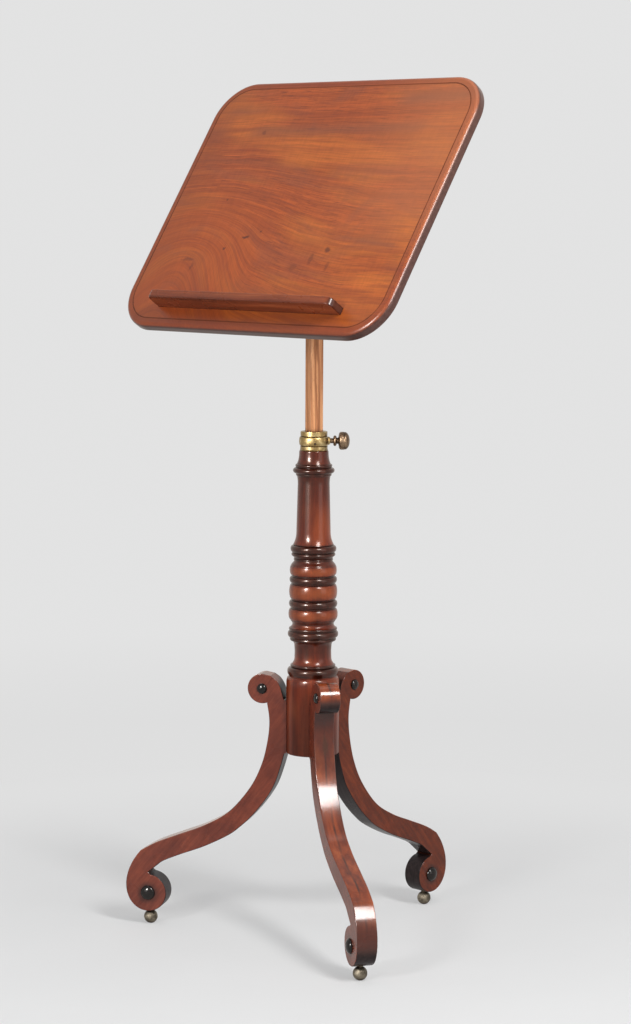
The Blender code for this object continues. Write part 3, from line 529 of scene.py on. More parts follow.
def polish(shader, colour, vector, height, roughness, bump, coat, gloss=WOOD_GLOSS, gleam=WHITE):
    """Sheen that varies a little from place to place, over a slightly open grain."""
    feed(shader, {"Base Color": colour, "Specular IOR Level": gloss, "Specular Tint": gleam,
                  "Roughness": spread(noise(vector, 14.0), 0.3, 0.7, *roughness),
                  "Normal": dent(height, bump), "Coat Tint": SHELLAC,
                  "Coat Weight": coat[0], "Coat Roughness": coat[1]})


def stain_and_shade_rings(colour, vector, dark, lit_crest, warm):
    """Stains the rings dark by their attribute, paints shade on the bulbs' ends and light on their crests,
    and warms long patches of what has none.
    """
    depth = add("Attribute", {}, vector.id_data, attribute_name="stain_and_shade").outputs["Fac"]
    patches = times(spread(grain(vector, 9.0, 26.0, 2.0), 0.44, 0.66, 0.0, 0.55),
                    spread(depth, 0.1, 0.4, 1.0, 0.0))
    worn = spread(noise(vector, 90.0), 0.3, 0.7, 0.75, 1.0)
    # below zero the attribute paints light on the bulbs' crests; above it, dark stain and painted shade on
    # their ends
    return over(colour, (patches, warm), (times(depth, -0.42, clamp=True), lit_crest),
                (times(depth, worn, clamp=True), dark))


def wood(name, place, tones, coarse=(2.6, 60.0), roughness=(0.26, 0.40), bump=0.25, coat=(0.2, 0.10),
         dirt_and_shade=(0.006, 0.75), dirt_and_shade_tone=tone(30, 14, 12), stains_and_shade=None, gloss=WOOD_GLOSS, gleam=WHITE):
    """A polished wood. place is the frame whose x runs along the grain; tones go from dark to light."""
    material, tree, shader = start_material(name)
    vector = wander(own_place(tree, place), 6.0, 0.012)
    colour, height = lay_grain(vector, tones, coarse, FINE_LINES, 0.22, 0.5)
    colour = shade(colour, spread(noise(vector, 5.0, 2.0), 0.3, 0.7, 0.86, 1.12))
    if stains_and_shade:
        colour = stain_and_shade_rings(colour, vector, *stains_and_shade)
    # settled dirt and painted shade in the grooves
    colour = settle_dirt_and_shade(colour, dirt_and_shade_tone, *dirt_and_shade)
    polish(shader, colour, vector, height, roughness, bump, coat, gloss, gleam)
    return material


up_grain = stand @ turn_about('Y', -90)
# The column's grooves are darkened by settled dirt and painted shade. Its three stain tones are dark stain
# with painted shade on the bulbs' ends, painted light on the bulbs' crests, and warm patches.
column_wood = wood("column_mahogany", up_grain,
                   (tone(58, 17, 9), tone(93, 32, 17), tone(112, 43, 24), tone(138, 66, 39)),
                   coarse=(2.0, 80.0), roughness=(0.28, 0.36), coat=(0.55, 0.18), dirt_and_shade=(0.006, 0.9),
                   dirt_and_shade_tone=tone(26, 12, 12), bump=0.10, gloss=0.20, gleam=tone(255, 195, 160),
                   stains_and_shade=(tone(20, 10, 8), tone(157, 84, 48), tone(143, 71, 38)))
stem_wood = wood("worn_stem_wood", up_grain,
                 (tone(96, 52, 33), tone(180, 122, 83), tone(218, 162, 118), tone(238, 196, 152)),
                 coarse=(2.5, 150.0), roughness=(0.30, 0.42), coat=(0.30, 0.16))
print("woods:", column_wood.name, stem_wood.name)

# %% [markdown]
# ## Brass, bronze and steel
# The collar is rubbed bright where hands reach and is brown in its grooves. The thumb screw has gone the
# colour of bronze and the ball feet are grey-brown from the floor. The hidden wood screws are dull steel.
# All are metal in different states, so one function makes them: a bright and a dull tone mixed by smudges,
# dirt in the grooves, and fine scratches in the gloss.

# %% The metal function
SMUDGE_SCALE = 120.0
SCRATCH_SCALE = 900.0
GROOVE_BROWN = tone(52, 34, 18)


def metal(name, bright, dull, roughness, dull_share):
    material, tree, shader = start_material(name)
    place = object_place(tree)
    smudges = spread(noise(place, SMUDGE_SCALE, 4.0, 0.65), 0.62 - dull_share / 2, 0.92 - dull_share / 2)
    scratches = noise(place, SCRATCH_SCALE, 2.0)
    feed(shader, {"Base Color": settle_dirt_and_shade(mix(smudges, dull, bright), GROOVE_BROWN, 0.004, 0.9),
                  "Roughness": spread(scratches, 0.3, 0.7, *roughness), "Normal": dent(scratches, 0.08),
                  "Metallic": 1.0})
    return material


collar_brass = metal("polished_brass", tone(190, 168, 122), tone(146, 121, 78), (0.29, 0.43), 0.42)
screw_brass = metal("bronze_brown_brass", tone(146, 122, 98), tone(92, 74, 58), (0.34, 0.50), 0.5)
foot_brass = metal("worn_foot_brass", tone(128, 119, 103), tone(80, 73, 63), (0.46, 0.64), 0.5)
screw_steel = metal("old_steel", tone(150, 146, 142), tone(96, 88, 82), (0.36, 0.52), 0.5)
print("metals:", collar_brass.name, screw_brass.name, foot_brass.name, screw_steel.name)

# %% [markdown]
# ## The column
# The column is turned from one length of mahogany: a spigot for the collar, rings, a long plain neck, more
# rings, a row of five swelling bulbs, a waist, and a plain drum that the legs are keyed into. It is also
# hollow, because the stem slides in it. The rings are the finest work on the table, so each bead gets nine
# steps and each bulb fifteen, where the CAD part has three and five.

# %% Members of the column, from the shoulder down
COLUMN_TOP = 0.673
COLUMN_FOOT = column_low.z
BASE_EDGE = 0.001
SPIGOT_RADIUS = 0.016
BORE_RADIUS = 0.0134
BORE_FLOOR = 0.345
COLUMN_SIDES = 96
member_shares = (
    ("line", 1.0000, 0.520),
    ("round", 0.9967, 0.553),
    ("sweep", 0.9725, 0.638),
    ("bead", 0.9667, 0.680, 0.692),
    ("line", 0.9652, 0.672),
    ("bead", 0.9539, 0.678, 0.782),
    ("bead", 0.9483, 0.632, 0.670),
    ("hollow", 0.9316, 0.600),
    ("line", 0.8380, 0.645),
    ("sweep", 0.8088, 0.766),
    ("line", 0.8077, 0.744),
    ("bead", 0.7935, 0.782, 0.864),
    ("line", 0.7923, 0.776),
    ("bead", 0.7854, 0.774, 0.826),
    ("line", 0.7807, 0.716),
    ("bead", 0.7768, 0.722, 0.741),
    ("ogee", 0.7660, 0.843),
    ("bulb", 0.7465, 0.807, 0.884),
    ("line", 0.7441, 0.807),
    ("bead", 0.7311, 0.826, 0.893),
    ("line", 0.7287, 0.815),
    ("bulb", 0.6981, 0.829, 0.906),
    ("line", 0.6957, 0.815),
    ("bead", 0.6814, 0.840, 0.912),
    ("line", 0.6790, 0.837),
    ("bulb", 0.6557, 0.854, 0.929),
    ("ogee", 0.6475, 0.782),
    ("sweep", 0.6392, 0.887),
    ("bead", 0.6342, 0.876, 0.909),
    ("line", 0.6327, 0.876),
    ("bead", 0.6196, 0.876, 0.953),
    ("line", 0.6181, 0.854),
    ("bead", 0.6119, 0.788, 0.871),
    ("hollow", 0.6010, 0.702),
    ("line", 0.5914, 0.691),
    ("line", 0.5795, 0.697),
    ("sweep", 0.5637, 0.810),
    ("bead", 0.5596, 0.843, 0.851),
    ("line", 0.5581, 0.826),
    ("bead", 0.5418, 0.909, 0.967),
    ("line", 0.5394, 0.904),
    ("round", 0.5260, 1.000),
)
cone_foot = COLUMN_TOP * member_shares[2][1]
drum_top = COLUMN_TOP * member_shares[-1][1]
print("members:", len(member_shares), "drum from", round(drum_top, 4), "down")

# %% [markdown]
# The legs slide into the drum from below on dovetail keys, so the drum has three tapered sockets. They show
# from underneath only. A key and its socket come from one outline, the socket a hair larger. The maker's
# stain is dark on the rings and in the grooves. On the bulbs, shade is painted on the ends and light on the
# crests, so that they look round. Both are written on the vertices by height, for the finish to read. The
# drum has less coat than the rings.

# %% Turn the column and cut its sockets
KEY_DEPTH = 0.0138
KEY_NECK = 0.0090
KEY_ROOT = 0.0130
KEY_RISE = 0.064
LEG_TURNS = {"front_left": -150, "front_right": -30, "rear": 90}
PLAIN_LENGTH = 0.005      # a straight member longer than this is a plain length, not a groove
SMUDGE_LENGTH = 0.020     # how far the stain of a ring runs on along a plain length
SMUDGE_STAIN = 0.5
# painted shade on the bulbs' ends, against painted light on their crests:
BULB_PAINTED_SHADE = 1.6          # how much darker a bulb's ends are than its crest
bulb_power_share = 2.2
DRUM_STAIN = 0.58
CONE_STAIN = 0.36         # of the short cone between the collar and the first rings
DRUM_COAT = 0.20
RING_COAT = 0.55
COAT_FADE = 0.004
stain_shares = {"bead": 0.85, "line": 0.80, "ogee": 0.50, "sweep": 0.0, "hollow": 0.56, "round": 0.0}


def dovetail(name, clearance, low, high):
    """The key of a leg, along +X, or the cutter for its socket where clearance is given."""
    root = BASE_RADIUS - KEY_DEPTH - clearance
    mouth = BASE_RADIUS + OVERRUN
    slope = (KEY_ROOT - KEY_NECK) / 2 / KEY_DEPTH
    root_half = KEY_ROOT / 2 + clearance
    mouth_half = root_half - slope * (mouth - root)
    outline = [(root, -root_half), (mouth, -mouth_half), (mouth, mouth_half), (root, root_half)]
    return plank(name, outline, low, high)


def stain_and_shade_at(height):
    """How dark the column is stained at a height, with painted shade on the bulbs' ends. Below zero, on the
    bulbs' crests, it is painted paler as light.
    """
    if height < drum_top:
        return DRUM_STAIN
    if height > cone_foot:
        return CONE_STAIN
    start = COLUMN_TOP
    for kind, place_share, *_ in member_shares:
        end = COLUMN_TOP * place_share
        if end <= height <= start:
            if kind == "line" and start - end > PLAIN_LENGTH:
                return SMUDGE_STAIN * max(1 - (start - height) / SMUDGE_LENGTH, 0) ** 2
            # a bulb: painted shade at its ends, and painted light below zero on its crest
            if kind == "bulb":
                along = (start - height) / max(start - end, WELD)
                return BULB_PAINTED_SHADE * abs(2 * along - 1) ** bulb_power_share - 1
            return stain_shares[kind]
        start = end
    return 0.0


spigot_start = (SPIGOT_RADIUS, COLUMN_TOP)
column_profile = [(0, BORE_FLOOR), (BORE_RADIUS, BORE_FLOOR), (BORE_RADIUS, column_high.z),
                  (SPIGOT_RADIUS, column_high.z), spigot_start]
column_profile += member_line(member_shares, spigot_start, COLUMN_TOP, BASE_RADIUS)
column_profile += [(BASE_RADIUS, COLUMN_FOOT + BASE_EDGE), (BASE_RADIUS - BASE_EDGE, COLUMN_FOOT),
                   (0, COLUMN_FOOT)]
column = lathe("turned_column", column_profile, COLUMN_SIDES)
for degrees in LEG_TURNS.values():
    socket = dovetail("socket", GAP, COLUMN_FOOT - OVERRUN, COLUMN_FOOT + KEY_RISE + GAP)
    carve(column, put(socket, turn_about('Z', degrees)))
put(column, stand)
# the attribute carries the maker's stain, and painted shade and light on the bulbs
stain_and_shade = column.data.attributes.new("stain_and_shade", 'FLOAT', 'POINT')
for corner, value in zip(column.data.vertices, stain_and_shade.data):
    value.value = stain_and_shade_at(corner.co.z)
column_tree = column_wood.node_tree
column_height = split(object_place(column_tree))[2]
feed(column_tree.nodes["Principled BSDF"],
     {"Coat Weight": spread(column_height, drum_top - COAT_FADE, drum_top, DRUM_COAT, RING_COAT)})
finish(column, column_wood, "base", "column")
print("column:", len(column.data.polygons), "faces from", len(column_profile), "points")

# %% [markdown]
# ## The legs
# Each leg is sawn from a plank 28 mm thick and polished on the outer side. It starts in a scroll at the
# top, sweeps down and out, and curls under into a larger scroll that a ball foot carries. All three are
# alike, so one is made along +X and copied. The outline is arcs for the scrolls, a spiral for the foot's
# outer line and smooth curves between them; the rim is then rounded over.

# %% Outline of a leg, in its own plane: x outwards, y up
LEG_THICKNESS = 0.028
LEG_EDGE = 0.0011
TOP_SCROLL_OUT = 0.0684
TOP_SCROLL_UP = 0.3437
TOP_SCROLL_RADIUS = 0.0205
FOOT_SCROLL_OUT = 0.2330
FOOT_SCROLL_RADIUS = 0.0263
FOOT_HEIGHT = 0.0197
FOOT_SCROLL_UP = FOOT_HEIGHT + GAP + FOOT_SCROLL_RADIUS
VOLUTE_START = 0.00062
volute_growth_share = 1.36
THROAT = 0.0026
LEG_ROOT = 0.028
LEG_SEAT_TOP = 0.326
NOTCH_DEGREES = -110
VOLUTE_DEGREES = 80
THROAT_DEGREES = 97
SCROLL_STEPS = 36
CURVE_STEPS = 6
back_shares = ((-0.063, 0.853), (-0.049, 0.761), (0.002, 0.646), (0.105, 0.530), (0.289, 0.411),
               (0.502, 0.340), (0.714, 0.292), (0.927, 0.244))
under_shares = ((0.957, 0.117), (0.917, 0.135), (0.860, 0.158), (0.714, 0.193), (0.502, 0.239),
                (0.292, 0.299), (0.186, 0.344), (0.083, 0.399), (-0.015, 0.465), (-0.100, 0.540),
                (-0.154, 0.621), (-0.196, 0.702))
shoulder_shares = ((-0.189, 0.953), (-0.173, 0.982), (-0.158, 1.010), (-0.119, 1.043), (-0.069, 1.062))


def leg_places(shares):
    """Places between the two scroll centres."""
    return [(TOP_SCROLL_OUT + (FOOT_SCROLL_OUT - TOP_SCROLL_OUT) * out_share,
             FOOT_SCROLL_UP + (TOP_SCROLL_UP - FOOT_SCROLL_UP) * up_share) for out_share, up_share in shares]


def volute(steps):
    """The foot's outer line, a spiral that closes on the scroll's circle at its lowest point."""
    points = []
    for k in range(steps + 1):
        angle = math.radians(VOLUTE_DEGREES + (-90 - VOLUTE_DEGREES) * k / steps)
        growth = math.exp(volute_growth_share * (angle + math.pi / 2)) - 1
        radius = FOOT_SCROLL_RADIUS + VOLUTE_START * growth
        points.append((FOOT_SCROLL_OUT + radius * math.cos(angle), FOOT_SCROLL_UP + radius * math.sin(angle)))
    return points


scroll = arc(TOP_SCROLL_OUT, TOP_SCROLL_UP, TOP_SCROLL_RADIUS, 90, NOTCH_DEGREES, SCROLL_STEPS)
spiral = volute(SCROLL_STEPS)
back = through([scroll[-1]] + leg_places(back_shares) + [spiral[0]], CURVE_STEPS)
curl = arc(FOOT_SCROLL_OUT, FOOT_SCROLL_UP, FOOT_SCROLL_RADIUS, -90, THROAT_DEGREES - 360, SCROLL_STEPS)
throat = (FOOT_SCROLL_OUT, FOOT_SCROLL_UP + FOOT_SCROLL_RADIUS + THROAT)
under = through([throat] + leg_places(under_shares), CURVE_STEPS)
root = [(LEG_ROOT, under[-1][1]), (LEG_ROOT, LEG_SEAT_TOP)]
shoulder = through(leg_places(shoulder_shares), CURVE_STEPS)
leg_outline = scroll + back[1:-1] + spiral + curl[1:] + under + root + shoulder
print("leg outline:", len(leg_outline), "points")

# %% [markdown]
# The blank lies flat, so it is stood up by a quarter turn about X. The side that meets the column is
# scribed to the drum's curve: a cylinder as wide as the drum is cut away. Then the dovetail key is joined
# on, and the scrolls are bored for the pegs of the bosses.

# %% Saw one leg
PEG_RADIUS = 0.0030
SCRIBE_SIDES = 192

upright = turn_about('X', 90)
half_leg = LEG_THICKNESS / 2
leg = plank("scroll_leg", leg_outline, -half_leg, half_leg)
soften(leg, lambda a, b: is_level(a, b) and min(a.x, b.x) > LEG_ROOT + WELD, LEG_EDGE)
put(leg, upright)
bore(leg, BASE_RADIUS, COLUMN_FOOT - TOP_SCROLL_RADIUS, TOP_SCROLL_UP + TOP_SCROLL_RADIUS, sides=SCRIBE_SIDES)
carve(leg, dovetail("key", 0, COLUMN_FOOT, COLUMN_FOOT + KEY_RISE), 'UNION')
for out, up in ((TOP_SCROLL_OUT, TOP_SCROLL_UP), (FOOT_SCROLL_OUT, FOOT_SCROLL_UP)):
    bore(leg, PEG_RADIUS, -half_leg - OVERRUN, half_leg + OVERRUN, shift(out, 0, up), upright)
print("leg:", len(leg.data.polygons), "faces")

# %% [markdown]
# A leg's finish differs by side. The outer surface has years of polish and shows a dark wavering vein down
# its middle, with a short dark figure near the column. Two places beside the column are dark with old wax
# and painted shade, the upper one the painted shadow of the upper scroll. What looks down is painted darker
# as shade, and the foot of the leg is darker than the rest, with dirt and painted shade. The flat sides are
# drier and redder, in patches, and dark round the boss in the foot; the rear leg's are a darker, browner
# shaded copy of the front legs'. The grain runs straight through the plank, from the column down to the foot.

# %% The outer and the flat sides of a leg
VEIN_WIDTH = 0.0013
FOOT_EYE = (FOOT_SCROLL_OUT, FOOT_SCROLL_UP)
UNDER_SCROLL = (0.0610, 0.3180)   # out and up, where the upper scroll shades the leg
UNDER_FIGURE = (0.0560, 0.2680)   # where old wax and painted shade darken the leg beside the column
FIGURE_UP = 0.2760                # the middle of a dark figure in the wood
figure_half_size = (0.0050, 0.0160)
LOW_FADE = (FOOT_SCROLL_UP + 0.022, FOOT_SCROLL_UP + 0.056)      # the leg darkens between these heights
LOWEST_FADE = (FOOT_SCROLL_UP - 0.012, FOOT_SCROLL_UP + 0.004)
LEG_STREAKS = (20.0, 200.0)
LEG_LINES = (45.0, 480.0)
# old wax, with painted shade: the shadow of the upper scroll and the darker leg beside the column
WAX_AND_SHADOW = tone(64, 24, 18)
DOWN = Vector((0, 0, -1))
# painted light: one wood in two copies, lighter and redder for the front legs' sides, darker and browner for
# the rear leg's
lit_side_red = (tone(98, 43, 31), tone(111, 51, 38), tone(118, 56, 42), tone(128, 64, 47))
shaded_side_brown = (tone(82, 31, 12), tone(96, 38, 15), tone(106, 44, 19), tone(120, 56, 26))
outer_orange = (tone(84, 33, 14), tone(117, 51, 23), tone(138, 66, 32), tone(160, 87, 46))


def near_spot(plane, spot, near, far, amount):
    """The amount close to a spot in the leg's plane, fading to nothing further off."""
    off = vector_calc('SUBTRACT', plane, (spot[0], 0.0, spot[1]))
    return spread(length_of(vector_calc('MULTIPLY', off, (1.0, 0.0, 1.0))), near, far, amount, 0.0)


def mark(x, y, place, half_size, dark):
    """How dark a small knot is at a point."""
    away = [calc('DIVIDE', less(value, middle), half)
            for value, middle, half in zip((x, y), place, half_size)]
    return spread(length_of(join(*away)), 0.4, 1.1, dark, 0.0)


def leg_side(vector, plane, tones):
    """A flat side's colour, and a height for the bump."""
    side, height = lay_grain(vector, tones, LEG_STREAKS, LEG_LINES, 0.16, 0.45)
    patches = spread(noise(vector, 42.0, 4.0, 0.6), 0.34, 0.66)
    side = mix(1.0, side, mix(patches, (0.84, 0.82, 0.82), (1.14, 1.14, 1.02)), 'MULTIPLY')
    return mix(near_spot(plane, FOOT_EYE, 0.010, 0.019, 0.6), side, tone(46, 25, 22)), height


def leg_outer(vector, plane, tones):
    """The outer side's colour."""
    streaks = ramp(grain(vector, 4.0, 75.0, 4.0, 0.6), list(zip((0.30, 0.45, 0.58, 0.72), tones)))
    across = split(wander(plane, 16.0, 0.007))[1]
    up = split(plane)[2]
    vein = times(spread(calc('ABSOLUTE', across), VEIN_WIDTH / 2, VEIN_WIDTH * 1.6, 0.8, 0.0),
                 spread(noise(plane, 22.0, 2.0), 0.38, 0.62, 0.25, 1.0))
    return over(streaks,
                (vein, tone(46, 26, 24)),
                # painted shade on what looks down
                (facing(plane.id_data, DOWN, -0.35, 0.35), tone(62, 30, 24)),
                # painted shadow of the upper scroll and painted shade beside the column, both with old wax
                (near_spot(plane, UNDER_SCROLL, 0.010, 0.040, 0.85), WAX_AND_SHADOW),
                (near_spot(plane, UNDER_FIGURE, 0.010, 0.042, 0.60), WAX_AND_SHADOW),
                (mark(across, up, (0.0, FIGURE_UP), figure_half_size, 0.8), tone(66, 36, 20)),
                # darker towards the foot and nearly black under the curl: dirt with painted shade
                (spread(up, *LOW_FADE, 0.9, 0.0), tone(68, 26, 16)),
                (spread(up, *LOWEST_FADE, 0.9, 0.0), tone(30, 16, 14)))


# %% [markdown]
# The inner side, which looks inwards and down, was never polished and has hardly any coat; it is painted
# nearly black as shade. So are the hollow of the foot's curl, which a spot in the leg's plane finds, and
# what looks down. The surface's own direction, from Texture Coordinate's Normal, tells the material which
# side it is on.

# %% Finish of the legs
GRAIN_SLOPE_DEGREES = 52
CURL = (FOOT_SCROLL_OUT - 0.010, FOOT_SCROLL_UP)
CURL_START = 0.02832
CURL_REACH = 0.0295


def leg_wood(corner, side_tones):
    material, tree, shader = start_material("leg_mahogany_" + corner)
    line = stand @ turn_about('Z', LEG_TURNS[corner])
    plane = own_place(tree, line)
    vector = wander(own_place(tree, line @ turn_about('Y', GRAIN_SLOPE_DEGREES)), 7.0, 0.010)
    side, height = leg_side(vector, plane, side_tones)
    outwards = line.to_3x3() @ Vector((1, 0, 0.75))
    crosswise = line.to_3x3() @ Vector((0, 1, 0))
    shown = facing(tree, outwards, 0.25, 0.45)
    inside = facing(tree, -outwards, 0.2, 0.45)
    curled = near_spot(plane, CURL, CURL_START, CURL_REACH, 1.0)
    hidden = larger(curled, facing(tree, DOWN, 0.0, 0.6))
    # painted shade: the inner side, the hollow of the curl and what looks down are painted nearly black, and
    # get little coat
    bare_and_shaded = larger(inside, times(hidden, less(1.0, either_way(tree, crosswise, 0.5, 0.8)), clamp=True))
    colour = over(side, (shown, leg_outer(vector, plane, outer_orange)),
                  (bare_and_shaded, streaked(vector, tone(40, 31, 31), 12.0, 200.0, 0.35)))
    # settled dirt and painted shade in grooves and inner corners
    colour = settle_dirt_and_shade(colour, tone(30, 15, 12), 0.008, 0.8)
    polish(shader, colour, vector, height, (0.24, 0.36), 0.12, (0.65, 0.14))
    coat = times(spread(shown, 0.0, 1.0, 0.42, 0.85), spread(bare_and_shaded, 0.0, 1.0, 1.0, 0.1))
    feed(shader, {"Coat Weight": coat})
    return material


# the rear leg gets the shaded copy of the side tones
leg_woods = {corner: leg_wood(corner, shaded_side_brown if corner == "rear" else lit_side_red) for corner in LEG_TURNS}
print("leg finishes:", len(leg_woods))

# %% [markdown]
# ## Bosses and ball feet
# A black domed boss sits in the eye of each scroll, on both sides, with a peg that holds it in the leg. The
# ball feet are turned brass with a worn flat under them, a short neck and a screw. Both are lathe work,
# made once and copied for each leg, and the bosses for each side.

# %% Turn a boss of each size and a foot
TOP_BOSS_RADIUS = 0.0071
TOP_BOSS_RISE = 0.0040
FOOT_BOSS_RADIUS = 0.0102
FOOT_BOSS_RISE = 0.0056
PEG_LENGTH = 0.0110
BALL_RADIUS = 0.0096
BALL_FLAT = 0.0024
FOOT_NECK_RADIUS = 0.0040
FOOT_SHANK_RADIUS = 0.0025
FOOT_SHANK_LENGTH = 0.0120
BALL_STEPS = 24
DOME_STEPS = 12
SMALL_SIDES = 48


def turn_boss(name, radius, rise):
    """A polished dome on a peg, standing on z = 0."""
    peg = [(0, -PEG_LENGTH), (PEG_RADIUS, -PEG_LENGTH), (PEG_RADIUS, GAP)]
    return lathe(name, peg + dome_line(radius, GAP, rise, DOME_STEPS) + [(0, rise + GAP)], SMALL_SIDES)


top_boss = turn_boss("top_boss", TOP_BOSS_RADIUS, TOP_BOSS_RISE)
foot_boss = turn_boss("foot_boss", FOOT_BOSS_RADIUS, FOOT_BOSS_RISE)
ball_centre = math.sqrt(BALL_RADIUS ** 2 - BALL_FLAT ** 2)
flat_degrees = -math.degrees(math.acos(BALL_FLAT / BALL_RADIUS))
neck_degrees = math.degrees(math.acos(FOOT_NECK_RADIUS / BALL_RADIUS))
shank_top = FOOT_HEIGHT + FOOT_SHANK_LENGTH
foot_profile = [(0, 0)] + arc(0, ball_centre, BALL_RADIUS, flat_degrees, neck_degrees, BALL_STEPS)
foot_profile += [(FOOT_NECK_RADIUS, FOOT_HEIGHT), (FOOT_SHANK_RADIUS, FOOT_HEIGHT),
                 (FOOT_SHANK_RADIUS, shank_top), (0, shank_top)]
ball_foot = lathe("ball_foot", foot_profile, SMALL_SIDES)
bore(leg, FOOT_SHANK_RADIUS, FOOT_HEIGHT - OVERRUN, shank_top + GAP, shift(FOOT_SCROLL_OUT, 0, 0))
print("ball foot:", len(ball_foot.data.polygons), "faces")

# %% [markdown]
# The bosses look like ebony with a thick polish, so they are nearly black, with faint brown streaks and a
# sharp highlight from a smooth coat.

# %% Ebony, and the three legs set in place
boss_ebony, ebony_tree, ebony_shader = start_material("polished_ebony")
ebony_place = object_place(ebony_tree)
ebony_streaks = grain(ebony_place, 400.0, 60.0)
ebony_stops = ((0.4, tone(15, 13, 13)), (0.62, tone(27, 22, 21)), (0.8, tone(42, 33, 29)))
polish(ebony_shader, ramp(ebony_streaks, ebony_stops), ebony_place, ebony_streaks,
       (0.14, 0.26), 0.05, (0.42, 0.05))

for corner, degrees in LEG_TURNS.items():
    line = stand @ turn_about('Z', degrees)
    finish(another(leg, "scroll_leg_" + corner, line), leg_woods[corner], "base", "leg_" + corner)
    foot = another(ball_foot, "ball_" + corner, line, shift(FOOT_SCROLL_OUT, 0, 0))
    finish(foot, foot_brass, "base", "foot_" + corner)
    for side, sign in (("a", 1), ("b", -1)):
        for boss, name, node, out, up in ((top_boss, "upper", "top", TOP_SCROLL_OUT, TOP_SCROLL_UP),
                                          (foot_boss, "lower", "foot", FOOT_SCROLL_OUT, FOOT_SCROLL_UP)):
            dome = another(boss, "%s_dome_%s_%s" % (name, corner, side), line,
                           shift(out, sign * half_leg, up), turn_about('X', -90 * sign))
            finish(dome, boss_ebony, "base", "%s_boss_%s_%s" % (node, corner, side))
for pattern in (leg, top_boss, foot_boss, ball_foot):
    bpy.data.objects.remove(pattern)
print("legs set at", list(LEG_TURNS.values()), "degrees")

# %% [markdown]
# ## The collar
# A brass cap covers the column's spigot. Outside it is turned with a plain lower band, a convex middle band
# and a rim; inside it has an eight-sided mouth that lets the stem slide but not turn. A small boss on its
# side takes the thumb screw, and two pins hold it to the wood.

# %% Turn the collar and bore it
COLLAR_FOOT = COLUMN_TOP + GAP
COLLAR_RISE = 0.0257
COLLAR_WALL_RADIUS = 0.0202
COLLAR_LIP = 0.0025
STEM_FLATS = 0.0240
STEM_SIDES = 8
SCREW_RISE = 0.0127
SCREW_TURN_DEGREES = 45
SCREW_RADIUS = 0.0030
SHOE_RADIUS = 0.0044
SHOE_THICKNESS = 0.0025
SHOE_TRAVEL = 0.0020
BOSS_BASE_RADIUS = 0.0056
BOSS_TIP_RADIUS = 0.0045
BOSS_REACH = 0.0220
COLLAR_PIN_RADIUS = 0.0014
COLLAR_PIN_RISE = 0.0097
COLLAR_PIN_REACH = 0.0200
COLLAR_PIN_LENGTH = 0.0054
COLLAR_PIN_SIDES = 24
collar_pin_degrees = {"front": -41, "back": 139}
band_start_share = 0.936
band_shares = (
    ("line", 0.030, 0.948),
    ("line", 0.055, 0.921),
    ("line", 0.205, 0.921),
    ("line", 0.232, 0.885),
    ("line", 0.250, 0.930),
    ("bead", 0.712, 0.930, 1.000),
    ("line", 0.732, 0.878),
    ("line", 0.762, 0.906),
    ("line", 0.950, 0.906),
    ("line", 0.985, 0.893),
    ("line", 1.000, 0.862),
)
radial = turn_about('Y', 90)


def octagon(flats):
    """The corners of an eight-sided stick, from the width across its flats."""
    half_side = 180 / STEM_SIDES
    return arc(0, 0, flats / 2 / math.cos(math.pi / STEM_SIDES), half_side, 360 - half_side, STEM_SIDES - 1)


def bore_collar(radius, near, far, height, degrees):
    """Bores the collar from its side, between two distances from the column's axis."""
    bore(collar, radius, near, far, shift(0, 0, height), turn_about('Z', degrees), radial)


inner = SPIGOT_RADIUS + GAP
roof = COLLAR_RISE - COLLAR_LIP
band_start = (COLLAR_WALL_RADIUS * band_start_share, 0)
collar_profile = [(0, roof), (inner, roof), (inner, 0), band_start]
collar_profile += member_line(band_shares, band_start, COLLAR_RISE, COLLAR_WALL_RADIUS) + [(0, COLLAR_RISE)]
collar = lathe("brass_collar", collar_profile, COLUMN_SIDES)
carve(collar, plank("mouth", octagon(STEM_FLATS + 2 * GAP), roof - OVERRUN, COLLAR_RISE + OVERRUN))
boss_foot = (inner + COLLAR_WALL_RADIUS) / 2
screw_boss = lathe("screw_boss", [(0, boss_foot), (BOSS_BASE_RADIUS, boss_foot),
                                  (BOSS_BASE_RADIUS, COLLAR_WALL_RADIUS), (BOSS_TIP_RADIUS, BOSS_REACH),
                                  (0, BOSS_REACH)], SMALL_SIDES)
put(screw_boss, shift(0, 0, SCREW_RISE), turn_about('Z', SCREW_TURN_DEGREES), radial)
carve(collar, screw_boss, 'UNION')
shoe_back = STEM_FLATS / 2 + GAP + SHOE_THICKNESS
pocket_floor = shoe_back + SHOE_TRAVEL + GAP
inside = inner - OVERRUN / 2
outside = COLLAR_WALL_RADIUS + OVERRUN
bore_collar(SHOE_RADIUS, inside, pocket_floor, SCREW_RISE, SCREW_TURN_DEGREES)
bore_collar(SCREW_RADIUS, pocket_floor - OVERRUN / 2, BOSS_REACH + OVERRUN, SCREW_RISE, SCREW_TURN_DEGREES)
for degrees in collar_pin_degrees.values():
    bore_collar(COLLAR_PIN_RADIUS, inside, outside, COLLAR_PIN_RISE, degrees)
put(collar, stand, shift(0, 0, COLLAR_FOOT))
finish(collar, collar_brass, "base", "collar")

